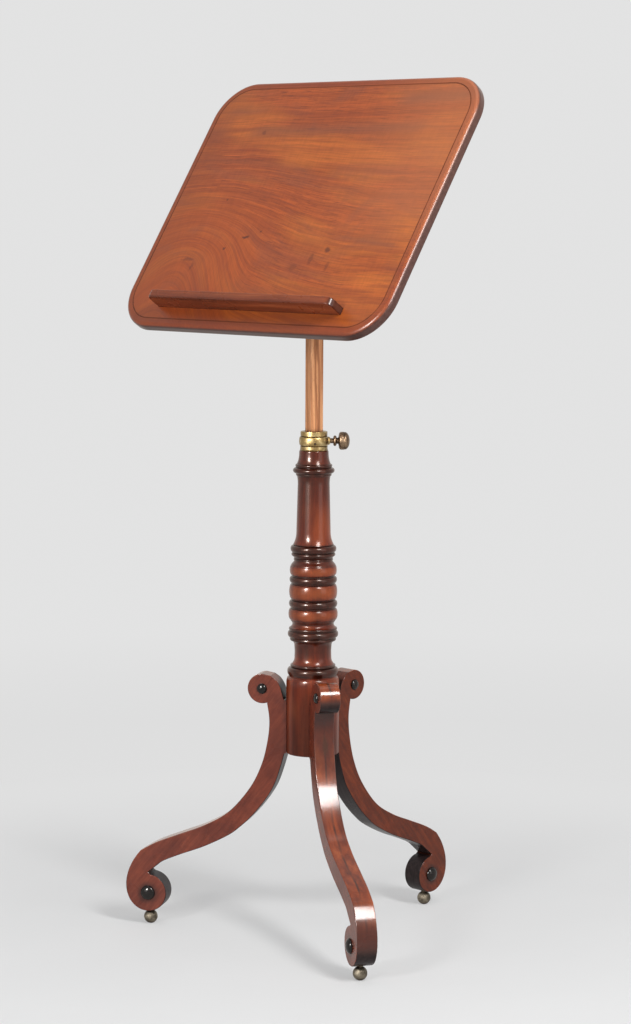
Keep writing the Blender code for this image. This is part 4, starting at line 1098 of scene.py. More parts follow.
pin_bevel = COLLAR_PIN_RADIUS / 3
pin_profile = [(0, 0), (COLLAR_PIN_RADIUS, 0), (COLLAR_PIN_RADIUS, COLLAR_PIN_LENGTH - pin_bevel),
               (COLLAR_PIN_RADIUS - pin_bevel, COLLAR_PIN_LENGTH), (0, COLLAR_PIN_LENGTH)]
for side, degrees in collar_pin_degrees.items():
    pin = put(lathe("pin_" + side, pin_profile, COLLAR_PIN_SIDES), stand,
              shift(0, 0, COLLAR_FOOT + COLLAR_PIN_RISE), turn_about('Z', degrees), radial,
              shift(0, 0, COLLAR_PIN_REACH - COLLAR_PIN_LENGTH))
    finish(pin, screw_brass, "base", "collar_pin_" + side)
print("collar:", len(collar.data.polygons), "faces")

# %% [markdown]
# ## The thumb screw
# The screw that clamps the stem ends in a turned knob: a thin neck, a bead, a waist and a thick round head
# with a small step before its domed face. It presses on a brass shoe, which keeps its CAD shape, because it
# is hidden in the collar, and only gets its finish.

# %% Turn the thumb screw
KNOB_REACH = 0.0486
KNOB_RADIUS = 0.0122
knob_start_share = 0.287
knob_shares = (
    ("line", 0.140, 0.287),
    ("line", 0.150, 0.400),
    ("bead", 0.322, 0.330, 0.600),
    ("line", 0.400, 0.350),
    ("line", 0.420, 0.520),
    ("round", 0.545, 1.000),
    ("line", 0.700, 1.000),
    ("line", 0.715, 0.962),
    ("line", 0.740, 0.985),
    ("dome", 1.000, 0.000),
)
screw_start = BOSS_REACH + GAP
knob_start = (KNOB_RADIUS * knob_start_share, screw_start)
screw_tip = shoe_back + GAP
screw_profile = [(0, screw_tip), (SCREW_RADIUS, screw_tip), (SCREW_RADIUS, screw_start), knob_start]
screw_profile += member_line(knob_shares, knob_start, KNOB_REACH - screw_start, KNOB_RADIUS, screw_start)
screw_line = stand @ shift(0, 0, COLLAR_FOOT + SCREW_RISE) @ turn_about('Z', SCREW_TURN_DEGREES) @ radial
thumb_screw = put(lathe("turned_thumb_screw", screw_profile, SMALL_SIDES), screw_line)
finish(thumb_screw, screw_brass, "clamp_screw", "thumb_screw")
frame["nodes"]["screw_shoe"].material_slots[0].material = collar_brass
print("thumb screw:", len(screw_profile), "points")

# %% [markdown]
# ## The stem and its block
# The stem is a stick of paler wood, planed to eight sides, whose arrises have gone soft from sliding. On
# its top sits a block, glued on a round tenon, that carries the tilt bolt. The block is round above, so
# that the board can swing past it.

# %% Plane the stem and shape the block
STEM_FOOT = 0.550
STEM_ARRIS = 0.0007
BLOCK_WIDTH = 0.0440
BLOCK_DEPTH = 0.0320
BLOCK_DROP = 0.0400
BLOCK_EDGE = 0.0010
BLOCK_STEPS = 48
TENON_RADIUS = 0.0090
TENON_LENGTH = 0.0240
TENON_SIDES = 48
BOLT_RADIUS = 0.0040

across = turn_about('Z', 90) @ turn_about('X', 90)
block_foot = tilt_place.z - BLOCK_DROP

stem = plank("eight_sided_stem", octagon(STEM_FLATS), STEM_FOOT, block_foot - GAP)
soften(stem, lambda a, b: abs(a.x - b.x) < WELD and abs(a.y - b.y) < WELD, STEM_ARRIS)
tenon = rod("tenon", TENON_RADIUS, block_foot - TENON_LENGTH, block_foot + TENON_LENGTH, TENON_SIDES)
carve(stem, tenon, 'UNION')
put(stem, stand)
finish(stem, stem_wood, "rising_stem", "stem")

half_block = BLOCK_DEPTH / 2
block_outline = [(-half_block, -BLOCK_DROP), (half_block, -BLOCK_DROP)]
block_outline += arc(0, 0, half_block, 0, 180, BLOCK_STEPS)
block = plank("stem_block", block_outline, -BLOCK_WIDTH / 2, BLOCK_WIDTH / 2)
soften(block, is_level, BLOCK_EDGE)
put(block, across)
bore(block, BOLT_RADIUS, -BLOCK_WIDTH, BLOCK_WIDTH, across)
bore(block, TENON_RADIUS, -BLOCK_DROP - OVERRUN, -BLOCK_DROP + TENON_LENGTH + GAP, sides=TENON_SIDES)
put(block, Matrix.Translation(tilt_place))


def hidden_wood(name, place):
    """Plain brown wood with next to no polish, for what the board hides."""
    tones = (tone(92, 60, 42), tone(122, 84, 58), tone(142, 102, 72), tone(162, 122, 88))
    return wood(name, place, tones, roughness=(0.5, 0.65), coat=(0.05, 0.3), bump=0.4)


finish(block, hidden_wood("block_wood", up_grain), "rising_stem", "pivot_block")
print("stem from", STEM_FOOT, "to", round(block_foot, 4))

# %% [markdown]
# ## The board
# The board is one wide piece of faded mahogany with generous round corners. A plane is scaled to its width
# and depth, its corners are rounded by bevelling the vertices, and it is extruded to its thickness. The
# front edge is rounded more than the back. A narrow groove, a fixed distance from the edge, takes a dark
# inlaid line, which is called stringing. The groove's cutter and the line are the same ring in two sizes.

# %% Shape the board and let in the stringing
BOARD_WIDTH = 0.4890
BOARD_DEPTH = 0.4000
BOARD_THICKNESS = 0.0145
BOARD_CORNER = 0.0600
BOARD_FACE = 0.0417
BOARD_BACK = BOARD_FACE - BOARD_THICKNESS
BOARD_FRONT_EDGE = 0.0060
BOARD_BACK_EDGE = 0.0015
STRING_INSET = 0.0114
STRING_WIDTH = 0.0012
STRING_DEPTH = 0.0012
GLUE_LINE = 0.00027       # the glue that fills most of the groove's play
CORNER_STEPS = 24


def sheet(name, inset, low, high):
    """A rounded sheet of the board's outline, moved in by the inset."""
    piece = start_plane(name)
    bpy.ops.transform.resize(value=(BOARD_WIDTH - 2 * inset, BOARD_DEPTH - 2 * inset, 1))
    bpy.ops.transform.translate(value=(0, 0, low))
    bpy.ops.mesh.bevel(offset=BOARD_CORNER - inset, segments=CORNER_STEPS, affect='VERTICES')
    bpy.ops.mesh.select_all(action='SELECT')
    extrude((0, 0, high - low))
    close_up()
    return piece


def ring(name, play, low, high):
    """A band that follows the board's edge, wider than the stringing by the play on each side."""
    inset = STRING_INSET - play
    band = sheet(name, inset, low, high)
    carve(band, sheet("hole", inset + STRING_WIDTH + 2 * play, low - OVERRUN, high + OVERRUN))
    return band


board = sheet("reading_board", 0, BOARD_BACK, BOARD_FACE)
for height, width, rows in ((BOARD_FACE, BOARD_FRONT_EDGE, 5), (BOARD_BACK, BOARD_BACK_EDGE, EDGE_ROWS)):
    soften(board, lambda a, b: is_level(a, b) and abs(a.z - height) < WELD, width, rows)
string_foot = BOARD_FACE - STRING_DEPTH
carve(board, ring("groove", GAP, string_foot - GAP, BOARD_FACE + OVERRUN))
stringing = ring("inlaid_line", GLUE_LINE, string_foot, BOARD_FACE)
print("board:", [round(size, 4) for size in board.dimensions], len(board.data.polygons), "faces")

# %% [markdown]
# ## The ledge and the bearers
# A ledge with quarter-round ends keeps a book from sliding down. Three screws through the board hold it
# from behind. Two bearers under the board keep it flat and carry the tilt bolt; each is deep in the middle
# and sweeps up to thin ends, where a screw in a small recess holds it.

# %% Shape the ledge and the bearers
LEDGE_LENGTH = 0.3420
LEDGE_STAND = 0.0280
LEDGE_THICKNESS = 0.0110
LEDGE_INSET = 0.0295
LEDGE_END_RADIUS = 0.0100
LEDGE_EDGE = 0.0015
ledge_screw_shares = (-0.36, 0.0, 0.36)
BEARER_LENGTH = 0.2800
BEARER_THICKNESS = 0.0180
BEARER_BELOW_AXIS = 0.0120
BEARER_END_DEPTH = 0.0120
BEARER_EDGE = 0.0010
BEARER_STEPS = 24
BLOCK_CLEARANCE = 0.0005
bearer_flat_share = 0.22
bearer_screw_share = 0.42
WOOD_SCREW_RADIUS = 0.0020
WOOD_SCREW_HEAD_RADIUS = 0.0040
WOOD_SCREW_HEAD_RISE = 0.0022
WOOD_SCREW_SUNK = 0.0020
WOOD_SCREW_BITE = 0.0090

ledge_y = LEDGE_INSET + LEDGE_THICKNESS / 2 - BOARD_DEPTH / 2
ledge_foot = BOARD_FACE + GAP
half_ledge = LEDGE_LENGTH / 2
ledge_shoulder = ledge_foot + LEDGE_STAND - LEDGE_END_RADIUS
ledge_outline = [(-half_ledge, ledge_foot), (half_ledge, ledge_foot)]
for x, start in ((half_ledge - LEDGE_END_RADIUS, 0), (LEDGE_END_RADIUS - half_ledge, 90)):
    ledge_outline += arc(x, ledge_shoulder, LEDGE_END_RADIUS, start, start + 90, CORNER_STEPS)
ledge = plank("book_ledge", ledge_outline, -LEDGE_THICKNESS / 2, LEDGE_THICKNESS / 2)
soften(ledge, lambda a, b: is_level(a, b) and max(a.y, b.y) > ledge_foot + WELD, LEDGE_EDGE, 4)
put(ledge, shift(0, ledge_y, 0), upright)

bearer_top = BOARD_BACK - GAP
bearer_x = BLOCK_WIDTH / 2 + BLOCK_CLEARANCE + BEARER_THICKNESS / 2
half_bearer = BEARER_LENGTH / 2
bearer_flat = half_bearer * bearer_flat_share


def bearer_line(y):
    """Lower line of a bearer: level round the bolt, then an ogee up to the thin ends."""
    share = min(max((abs(y) - bearer_flat) / (half_bearer - bearer_flat), 0), 1)
    return -BEARER_BELOW_AXIS + (bearer_top - BEARER_END_DEPTH + BEARER_BELOW_AXIS) * ease(share)


rising = [bearer_flat + (half_bearer - bearer_flat) * k / BEARER_STEPS for k in range(BEARER_STEPS + 1)]
bearer_outline = [(y, bearer_line(y)) for y in [-y for y in reversed(rising)] + rising]
bearer_outline += [(half_bearer, bearer_top), (-half_bearer, bearer_top)]
bearer = plank("bearer", bearer_outline, -BEARER_THICKNESS / 2, BEARER_THICKNESS / 2)
soften(bearer, lambda a, b: is_level(a, b) and min(a.y, b.y) < bearer_top - WELD, BEARER_EDGE)
put(bearer, across)
bore(bearer, BOLT_RADIUS, -BEARER_THICKNESS, BEARER_THICKNESS, across)

bearer_screw_y = BEARER_LENGTH * bearer_screw_share
bearer_screws = [(x, y) for x in (-bearer_x, bearer_x) for y in (-bearer_screw_y, bearer_screw_y)]
screw_seat = bearer_line(bearer_screw_y) + WOOD_SCREW_SUNK
wide = WOOD_SCREW_HEAD_RADIUS + GAP
narrow = WOOD_SCREW_RADIUS + GAP
recess_foot = screw_seat - 2 * OVERRUN
recess_top = bearer_top + OVERRUN
for y in (-bearer_screw_y, bearer_screw_y):
    recess = lathe("recess", [(0, recess_foot), (wide, recess_foot), (wide, screw_seat), (narrow, screw_seat),
                              (narrow, recess_top), (0, recess_top)], ROD_SIDES)
    carve(bearer, put(recess, shift(0, y, 0)))
print("ledge at", round(ledge_y, 4), "bearers at", round(bearer_x, 4), "from the middle")

# %% [markdown]
# ## Screws, bolt, washer and nut
# The wood screws have round heads with a slot. The tilt bolt runs through both bearers and the block; its
# nut is turned and squeezes the bearers on the block, which is the friction that holds the slope. A washer
# and a nut have a hole, so their profile closes on itself and spins to a ring.

# %% Turn the metal fittings
SLOT_WIDTH = 0.0009
SLOT_DEPTH = 0.0011
SCREW_DOME_STEPS = 8
BOLT_HEAD_RADIUS = 0.0090
BOLT_HEAD_RISE = 0.0048
BOLT_TAIL = 0.0020
WASHER_RADIUS = 0.0100
WASHER_THICKNESS = 0.0015
WASHER_EDGE = 0.0003
NUT_LENGTH = 0.0150
NUT_RADIUS = 0.0130
nut_start_share = 0.62
nut_shares = (
    ("line", 0.22, 0.62),
    ("line", 0.30, 0.52),
    ("line", 0.34, 0.84),
    ("round", 0.44, 1.00),
    ("line", 0.72, 1.00),
    ("dome", 0.86, 0.58),
    ("line", 0.90, 0.54),
    ("line", 1.00, 0.50),
)


def head_line(radius, seat, rise, steps):
    """A domed head under its seat, from the crown out to the rim."""
    return [(0, seat - rise)] + dome_line(radius, seat, -rise, steps)[::-1]


def wood_screw(name, grip):
    """A screw along +Z, whose head bears on z = 0; grip is the wood under the head."""
    head = head_line(WOOD_SCREW_HEAD_RADIUS, -GAP, WOOD_SCREW_HEAD_RISE, SCREW_DOME_STEPS)
    tip = grip + WOOD_SCREW_BITE
    screw = lathe(name, head + [(WOOD_SCREW_RADIUS, -GAP), (WOOD_SCREW_RADIUS, tip - WOOD_SCREW_RADIUS),
                                (0, tip)], ROD_SIDES)
    reach = 2 * WOOD_SCREW_HEAD_RADIUS
    half = SLOT_WIDTH / 2
    crown = head[0][1]
    carve(screw, plank("slot", [(-reach, -half), (reach, -half), (reach, half), (-reach, half)],
                       crown - OVERRUN, crown + SLOT_DEPTH))
    return screw


bearer_outer = bearer_x + BEARER_THICKNESS / 2
bolt_seat = -bearer_outer - GAP
bolt_end = bearer_outer + WASHER_THICKNESS + NUT_LENGTH + 2 * GAP + BOLT_TAIL
bolt_profile = head_line(BOLT_HEAD_RADIUS, bolt_seat, BOLT_HEAD_RISE, DOME_STEPS)
bolt_profile += [(BOLT_RADIUS, bolt_seat), (BOLT_RADIUS, bolt_end - BOLT_TAIL / 2),
                 (BOLT_RADIUS - BOLT_TAIL / 2, bolt_end), (0, bolt_end)]
bolt = lathe("pivot_bolt", bolt_profile, SMALL_SIDES)

hole = BOLT_RADIUS + GAP
washer_low = bearer_outer + GAP
washer_high = bearer_outer + WASHER_THICKNESS
washer_flat = WASHER_RADIUS - WASHER_EDGE
washer_profile = [(hole, washer_low), (washer_flat, washer_low), (WASHER_RADIUS, washer_low + WASHER_EDGE),
                  (WASHER_RADIUS, washer_high - WASHER_EDGE), (washer_flat, washer_high), (hole, washer_high),
                  (hole, washer_low)]
washer = lathe("bolt_washer", washer_profile, SMALL_SIDES)
nut_low = washer_high + GAP
nut_start = (NUT_RADIUS * nut_start_share, nut_low)
nut_profile = [(hole, nut_low), nut_start]
nut_profile += member_line(nut_shares, nut_start, NUT_LENGTH, NUT_RADIUS, nut_low)
nut_profile += [(hole, nut_low + NUT_LENGTH), (hole, nut_low)]
nut = lathe("turned_nut", nut_profile, SMALL_SIDES)
print("bolt from", round(bolt_seat, 4), "to", round(bolt_end, 4))

# %% [markdown]
# The board, the ledge and the bearers are bored for their screws. The board's face shows none, because the
# ledge covers its three bores and the bearers' screws stop short of the face.

# %% Bore the board and set the top together
LEDGE_SLOT_DEGREES = 47   # each screw's slot is turned on from the last by so much
BEARER_SLOT_DEGREES = 31

for share in ledge_screw_shares:
    here = shift(LEDGE_LENGTH * share, ledge_y, 0)
    bore(board, WOOD_SCREW_RADIUS, BOARD_BACK - OVERRUN, BOARD_FACE + OVERRUN, here)
    bore(ledge, WOOD_SCREW_RADIUS, BOARD_FACE - OVERRUN, ledge_foot + WOOD_SCREW_BITE + GAP, here)
for x, y in bearer_screws:
    bore(board, WOOD_SCREW_RADIUS, BOARD_BACK - OVERRUN, BOARD_BACK + WOOD_SCREW_BITE + GAP, shift(x, y, 0))
for piece in (board, stringing, ledge):
    put(piece, board_frame)
for piece, body, node in ((bolt, "top", "tilt_bolt"), (washer, "nut_washer", "tilt_washer"),
                          (nut, "nut", "tilt_nut")):
    finish(put(piece, board_frame, across), screw_brass, body, node)

long_screw = wood_screw("ledge_wood_screw", BOARD_THICKNESS)
for number, share in enumerate(ledge_screw_shares, 1):
    screw = another(long_screw, "ledge_fixing_%d" % number, board_frame,
                    shift(LEDGE_LENGTH * share, ledge_y, BOARD_BACK),
                    turn_about('Z', LEDGE_SLOT_DEGREES * number))
    finish(screw, screw_steel, "top", "ledge_screw_%d" % number)
short_screw = wood_screw("bearer_wood_screw", BOARD_BACK - screw_seat)
for number, (x, y) in enumerate(bearer_screws, 1):
    screw = another(short_screw, "bearer_fixing_%d" % number, board_frame, shift(x, y, screw_seat),
                    turn_about('Z', BEARER_SLOT_DEGREES * number))
    finish(screw, screw_steel, "top", "bearer_screw_%d" % number)
bearer_wood = hidden_wood("bearer_wood", board_frame @ turn_about('Z', 90))
for side, sign in (("left", -1), ("right", 1)):
    copy = another(bearer, "board_bearer_" + side, board_frame, shift(sign * bearer_x, 0, 0))
    finish(copy, bearer_wood, "top", "bearer_" + side)
for pattern in (long_screw, short_screw, bearer):
    bpy.data.objects.remove(pattern)
print("fixings:", len(ledge_screw_shares) + len(bearer_screws))

# %% [markdown]
# ## Finish of the board
# The board is the face of the table, so its figure is drawn with care. At the top the grain runs level. In
# the lower left it rises in a hill of nested arcs, where the saw met the curve of the tree, and to the
# right it slopes gently down from there. One number, the `level`, says which growth line a point lies on:
# its height up the board, less the rise of a broad low hill and of a narrow steep one. Streaks, lines and
# pores that are long in x and fine in this level follow the figure. Knots, flecks and smoky bands are
# placed one by one.

# %% The board's figure
HILL_X = -0.172
BAND_FADE = 0.04          # how far a smoky band takes to fade at each end
hills = (                 # rise, half width, then the heights between which it fades out
    (0.060, 0.330, -0.010, 0.130),
    (0.110, 0.150, -0.100, 0.010),
)
knots = (                 # place on the board and half sizes, then how dark
    (-0.066, -0.057, 0.0085, 0.0028, 0.90),
    (0.097, -0.075, 0.0060, 0.0050, 0.75),
    (-0.098, -0.076, 0.0038, 0.0032, 0.80),
    (-0.137, 0.003, 0.0030, 0.0022, 0.70),
    (-0.042, -0.047, 0.0028, 0.0022, 0.70),
    (0.050, -0.103, 0.0090, 0.0070, 0.35),
    (0.075, -0.090, 0.0050, 0.0110, 0.40),
    (0.109, -0.100, 0.0040, 0.0090, 0.45),
    (-0.160, -0.095, 0.0160, 0.0030, 0.50),
    (-0.146, -0.105, 0.0030, 0.0080, 0.45),
    (-0.125, 0.112, 0.0060, 0.0040, 0.45),
)
smoky_bands = (           # height, slope, half width, from x, to x, how dark
    (0.117, 0.02, 0.0150, -0.165, 0.190, 0.62),
    (0.160, 0.03, 0.0170, 0.090, 0.260, 0.75),
    (0.150, 0.00, 0.0090, -0.235, -0.120, 0.45),
    (0.052, -0.09, 0.0100, -0.240, 0.020, 0.28),
    (0.030, -0.12, 0.0070, -0.180, 0.120, 0.24),
    (-0.045, -0.10, 0.0060, 0.080, 0.240, 0.50),
)


def from_hill(x):
    """How far a point is from the middle of the hills, to either side."""
    return calc('ABSOLUTE', less(x, HILL_X))


def growth_level(x, y):
    """Which growth line a point of the board lies on."""
    level = y
    for rise, half_width, low_y, high_y in hills:
        hill = times(spread(from_hill(x), 0.0, half_width, rise, 0.0), spread(y, low_y, high_y, 1.0, 0.0))
        level = less(level, hill)
    return level


def smoke(x, y, height, slope, half_width, from_x, to_x, dark):
    """How dark a smoky band is at a point."""
    off = calc('ABSOLUTE', less(y, calc('ADD', times(x, slope), height)))
    ends = times(spread(x, from_x, from_x + BAND_FADE), spread(x, to_x - BAND_FADE, to_x, 1.0, 0.0))
    return times(spread(off, 0.0, half_width, dark, 0.0), ends)


print("figure:", len(hills), "hills,", len(knots), "knots and", len(smoky_bands), "smoky bands")

# %% [markdown]
# The layers of the face go on one by one: ticks, golden streaks, the hill's orange, threads, dusky streaks,
# smoke and knots, then the dark rim outside the stringing. Last come a paler upper right, which is faded
# wood with a painted sheen, and painted shade below the ledge and on the left side.

# %% The board's face
RIM_START = -STRING_INSET - 0.004
RIM_END = 0.002 - STRING_INSET
SMOKE = tone(124, 73, 54)
KNOT = tone(84, 38, 24)
BOARD_STREAKS = (1.6, 80.0)
BOARD_LINES = (4.0, 290.0)
face_tones = (tone(149, 68, 29), tone(167, 81, 34), tone(178, 89, 39), tone(194, 104, 48))


def from_edge(x, y):
    """How far a point is from the board's outline: below zero inside it."""
    over_x = less(calc('ABSOLUTE', x), BOARD_WIDTH / 2 - BOARD_CORNER)
    over_y = less(calc('ABSOLUTE', y), BOARD_DEPTH / 2 - BOARD_CORNER)
    round_part = length_of(join(larger(over_x, 0.0), larger(over_y, 0.0)))
    straight_part = calc('MINIMUM', larger(over_x, over_y), 0.0)
    return less(calc('ADD', round_part, straight_part), BOARD_CORNER)


def streaks(vector, along, across, detail, low, high, amount):
    """The amount of a tone that lies in streaks of grain."""
    return spread(grain(vector, along, across, detail), low, high, 0.0, amount)


def board_face(plain, bent):
    """The face's colour, and a height for the bump."""
    x, y, z = split(bent)
    vector = join(x, growth_level(x, y), z)
    colour, height = lay_grain(vector, face_tones, BOARD_STREAKS, BOARD_LINES, 0.32, 0.45)
    steep = times(spread(from_hill(x), 0.09, 0.20, 0.42, 0.0), spread(y, -0.04, 0.04, 1.0, 0.0))
    colour = over(colour,
                  (streaks(vector, 34.0, 640.0, 2.0, 0.50, 0.70, 0.80), tone(112, 50, 26)),
                  (streaks(vector, 4.0, 17.0, 2.0, 0.46, 0.66, 0.42), tone(206, 124, 50)),
                  (steep, tone(178, 86, 28)),
                  (streaks(vector, 8.0, 210.0, 3.0, 0.48, 0.64, 0.44), tone(132, 62, 34)),
                  (streaks(wander(vector, 3.0, 0.3), 5.0, 26.0, 3.0, 0.48, 0.70, 0.42), tone(134, 74, 52)),
                  *((smoke(x, y, *values), SMOKE) for values in smoky_bands))
    ragged_x, ragged_y, _ = split(wander(bent, 150.0, 0.006))
    colour = over(colour, *((mark(ragged_x, ragged_y, (knot_x, knot_y), (long, wide), dark), KNOT)
                            for knot_x, knot_y, long, wide, dark in knots))
    rim = spread(from_edge(*split(plain)[:2]), RIM_START, RIM_END, 0.0, 0.62)
    colour = mix(rim, colour, tone(128, 58, 36))
    colour = shade(colour, spread(grain(plain, 300.0, 40.0, 2.0), 0.3, 0.7, 0.95, 1.05))
    # faded wood with a painted sheen: the upper right is paler
    faded_and_sheen = times(spread(x, 0.0, 0.22, 0.0, 0.36), spread(y, -0.10, 0.02))
    colour = over(colour,
                  (faded_and_sheen, tone(196, 130, 92)),
                  # painted shade near and below the ledge
                  (spread(y, -0.172, -0.120, 0.34, 0.0), tone(142, 64, 32)),
                  # painted shade on the left side
                  (spread(x, -0.236, -0.150, 0.36, 0.0), tone(134, 68, 30)))
    return colour, height


# %% [markdown]
# The face, the edge and the back are finished apart, by the direction in which the surface looks. The face
# has a satin polish, the edge is darker, with a pale grey painted reflection on its two ends, and the back
# is plain, with hardly any coat.

# %% The board's finish
FACE_COAT = 0.60
BACK_COAT = 0.04
EDGE_COVER = 0.90         # how much of the face's colour the edge's hides

board_wood, board_tree, board_shader = start_material("faded_mahogany")
plain = own_place(board_tree, board_frame)
bent = wander(wander(plain, 5.0, 0.014), 30.0, 0.0012)
face, face_height = board_face(plain, bent)
# painted reflection: the board's two ends get a paler, greyer edge tone
end_edge_reflection = either_way(board_tree, Vector((1, 0, 0)), 0.3, 0.8)
edge_tone = mix(end_edge_reflection, tone(42, 20, 19), tone(68, 52, 53))
edge = mix(EDGE_COVER, face, streaked(plain, edge_tone, 8.0, 160.0, 0.3))
front = board_frame.to_3x3() @ Vector((0, 0, 1))
back_share = facing(board_tree, -front, 0.3, 0.8)
board_colour = over(edge, (facing(board_tree, front, 0.3, 0.8), face),
                    (back_share, streaked(bent, tone(118, 78, 56), 2.5, 130.0, 0.28)))
polish(board_shader, board_colour, plain, face_height, (0.30, 0.40), 0.08, (FACE_COAT, 0.30))
feed(board_shader, {"Coat Weight": spread(back_share, 0.0, 1.0, FACE_COAT, BACK_COAT)})
print("board finish:", len(board_tree.nodes), "nodes")

# %% [markdown]
# The ledge is darker and glossier than the board. End grain drinks the polish, so its two ends go darker
# than its sides. The stringing is a thin strip of dark wood.

# %% Finish of the ledge and the stringing
ledge_wood = wood("ledge_mahogany", board_frame,
                  (tone(84, 37, 21), tone(118, 56, 33), tone(137, 70, 42), tone(156, 88, 55)),
                  roughness=(0.22, 0.34), coat=(0.42, 0.10))
ledge_tree = ledge_wood.node_tree
ledge_shader = ledge_tree.nodes["Principled BSDF"]
ledge_colour = ledge_shader.inputs["Base Color"].links[0].from_socket
ledge_ends = either_way(ledge_tree, board_frame.to_3x3() @ Vector((1, 0, 0)), 0.2, 0.8)
feed(ledge_shader, {"Base Color": mix(times(ledge_ends, 0.85), ledge_colour, tone(52, 24, 20))})
line_wood = wood("dark_line", board_frame,
                 (tone(90, 44, 27), tone(112, 57, 35), tone(126, 66, 42), tone(140, 77, 50)),
                 roughness=(0.36, 0.46), coat=(0.1, 0.2), dirt_and_shade=(0.002, 0.2))
finish(board, board_wood, "top", "board")
finish(stringing, line_wood, "top", "stringing")
finish(ledge, ledge_wood, "top", "ledge")
print("ledge finish:", len(ledge_tree.nodes), "nodes")

# %% [markdown]
# ## Floor and background
# The table stands on a pale seamless floor that keeps its shadow. Near the feet the floor is matt paper,
# with a painted glow for camera, mirror and glass rays that lightens its shadow. Further off it blends, for
# those rays, into the colour of the background, so no horizon line shows. The world gives those rays the
# same pale colour and lights the object more softly.

# %% Floor and world
FLOOR_SIZE = 60.0
PALE = (0.765, 0.765, 0.765)      # background as linear light
PAPER = (0.82, 0.82, 0.82)
SKY = (0.96, 0.98, 1.0)
AMBIENT = 0.24
FADE_START = 0.35         # where the paper starts to blend into the background
FADE_FULL = 1.1
FADE_END = 2.6
SHADOW_FILL = 0.40        # share of painted glow in the paper near the feet, which lightens the floor's shadow
# tones of the painted glow by distance, as shares of FADE_END: brightest near the feet
fade_stops = ((0.0, 0.83), (0.20, 0.82), (0.32, 0.77), (0.42, 0.735), (0.60, 0.73), (0.80, 0.745),
              (1.0, 0.765))


def seen_directly(tree):
    """1 for camera, mirror and glass rays, and 0 for the light that falls on things."""
    path = add("LightPath", {}, tree).outputs
    seen = calc('ADD', path["Is Camera Ray"], path["Is Glossy Ray"], clamp=True)
    return calc('ADD', seen, path["Is Transmission Ray"], clamp=True)


def blend(factor, first, second, output):
    """Mixes two shaders and feeds them to the output."""
    mixed = add("MixShader", {0: factor, 1: first.outputs[0], 2: second.outputs[0]}).outputs[0]
    feed(output, {"Surface": mixed})


paper, paper_tree, paper_shader = start_material("pale_paper")
place = object_place(paper_tree)
mottle = spread(noise(place, 3.0), 0.3, 0.7, 0.97, 1.0)
feed(paper_shader, {"Base Color": shade(PAPER, mottle), "Roughness": 0.7})
away = length_of(place)
tones = ramp(calc('DIVIDE', away, FADE_END), [(share, (value,) * 3) for share, value in fade_stops])
glow = add("Emission", {"Color": tones, "Strength": 1.0})
# painted glow: near the feet part of the paper glows for camera, mirror and glass rays, lightening the shadow
far = times(spread(away, FADE_START, FADE_FULL, SHADOW_FILL, 1.0), seen_directly(paper_tree))
blend(far, paper_shader, glow, paper_tree.nodes["Material Output"])

bpy.ops.object.select_all(action='DESELECT')
bpy.ops.mesh.primitive_plane_add(size=FLOOR_SIZE)
floor = bpy.context.object
floor.name = "studio_floor"
floor.data.materials.append(paper)

world = bpy.data.worlds.new("soft_studio")
bpy.context.scene.world = world
world.use_nodes = True
sky = world.node_tree
lit = sky.nodes["Background"]
feed(lit, {"Color": SKY, "Strength": AMBIENT})
shown = add("Background", {"Color": PALE, "Strength": 1.0}, sky)
blend(seen_directly(sky), lit, shown, sky.nodes["World Output"])
print("floor and world ready")

# %% [markdown]
# ## Lights and camera
# The highlights show how the table was lit: by a large soft box high on the camera's right, and by a window
# and a smaller box on its left, with two wide weak lamps to fill the shadows. Three cards that only glossy
# surfaces see brighten the gleams, as a photographer's reflectors do. The camera stands a little above the
# board, some 3.7 m away, and looks with a long lens at the near corner between the reader's side and the
# right side.

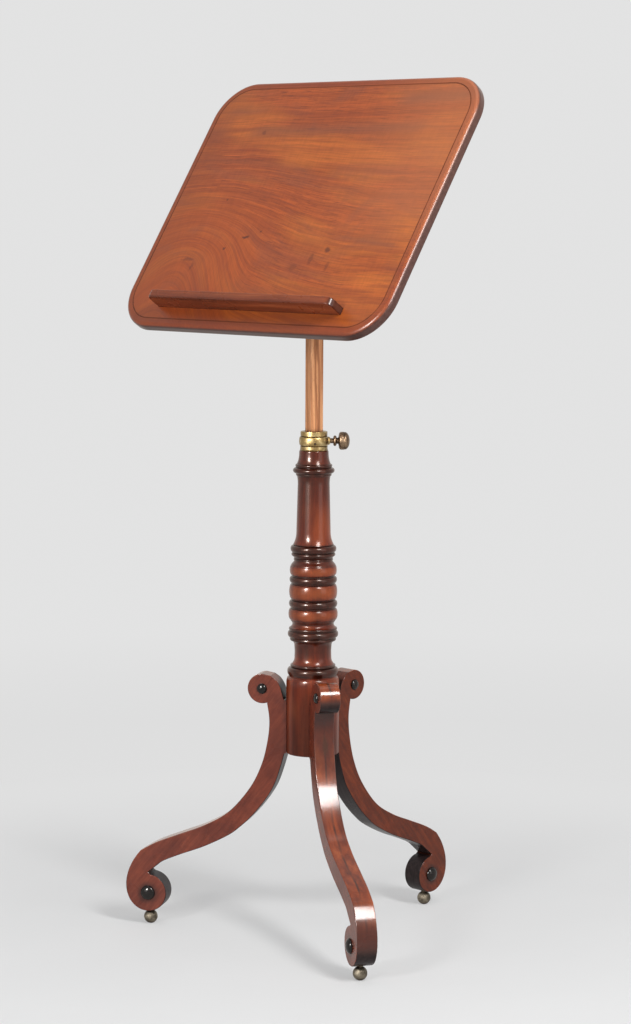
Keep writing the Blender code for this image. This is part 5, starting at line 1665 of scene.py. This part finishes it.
# %% Lights and camera
CAMERA_AWAY = Vector((2.58272, -2.66023, 1.01331))   # from the foot of the column's axis
CAMERA_TURN_DEGREES = (83.46427, 0.29440, 44.11312)  # tilt, roll, heading
CAMERA_LENS = 96.3746
SENSOR_WIDTH = 36.0
AIM_HEIGHT = 0.65
lamps = (                 # degrees to the camera's right and above level, distance, width, height, power
    ("high_right_box", 35, 37, 2.5, 0.5, 1.0, 44),
    ("high_left_box", -35, 17, 2.7, 0.4, 0.55, 17),
    ("left_window", -46, 2, 2.7, 1.3, 1.4, 8),
    ("left_gleam_card", -36, 16, 2.65, 0.50, 0.70, 90),
    ("low_gleam_card", -37, 4, 2.65, 0.45, 0.50, 9),
    ("right_gleam_card", 29, 38, 2.45, 0.40, 1.0, 18),
    ("right_fill", 50, 8, 2.8, 1.4, 1.8, 11),
    ("top_fill", 0, 84, 3.0, 2.0, 2.0, 14),
)


def new_object(name, data):
    item = bpy.data.objects.new(name, data)
    bpy.context.collection.objects.link(item)
    return item


camera_data = bpy.data.cameras.new("long_lens")
camera_data.lens = CAMERA_LENS
camera_data.sensor_width = SENSOR_WIDTH
camera_data.sensor_fit = 'AUTO'
camera = new_object("long_lens", camera_data)
tilt, roll, heading = CAMERA_TURN_DEGREES
camera.matrix_world = (Matrix.Translation(axis_place + CAMERA_AWAY) @ turn_about('Z', heading)
                       @ turn_about('X', tilt) @ turn_about('Z', roll))
bpy.context.scene.camera = camera

aim = axis_place + Vector((0, 0, AIM_HEIGHT))
for name, side_degrees, lift_degrees, distance, width, height, power in lamps:
    light = bpy.data.lights.new(name, 'AREA')
    light.shape = 'RECTANGLE'
    light.size = width
    light.size_y = height
    light.energy = power
    lamp = new_object(name, light)
    side = math.atan2(CAMERA_AWAY.y, CAMERA_AWAY.x) + math.radians(side_degrees)
    lift = math.radians(lift_degrees)
    away = Vector((math.cos(side) * math.cos(lift), math.sin(side) * math.cos(lift), math.sin(lift)))
    lamp.location = aim + away * distance
    lamp.rotation_euler = (-away).to_track_quat('-Z', 'Y').to_euler()
    lamp.visible_camera = False
    lamp.visible_diffuse = not name.endswith("card")
bpy.context.scene.view_settings.view_transform = 'Standard'
bpy.context.view_layer.update()
print("camera at", [round(value, 3) for value in camera.location], "with", len(lamps), "lamps")
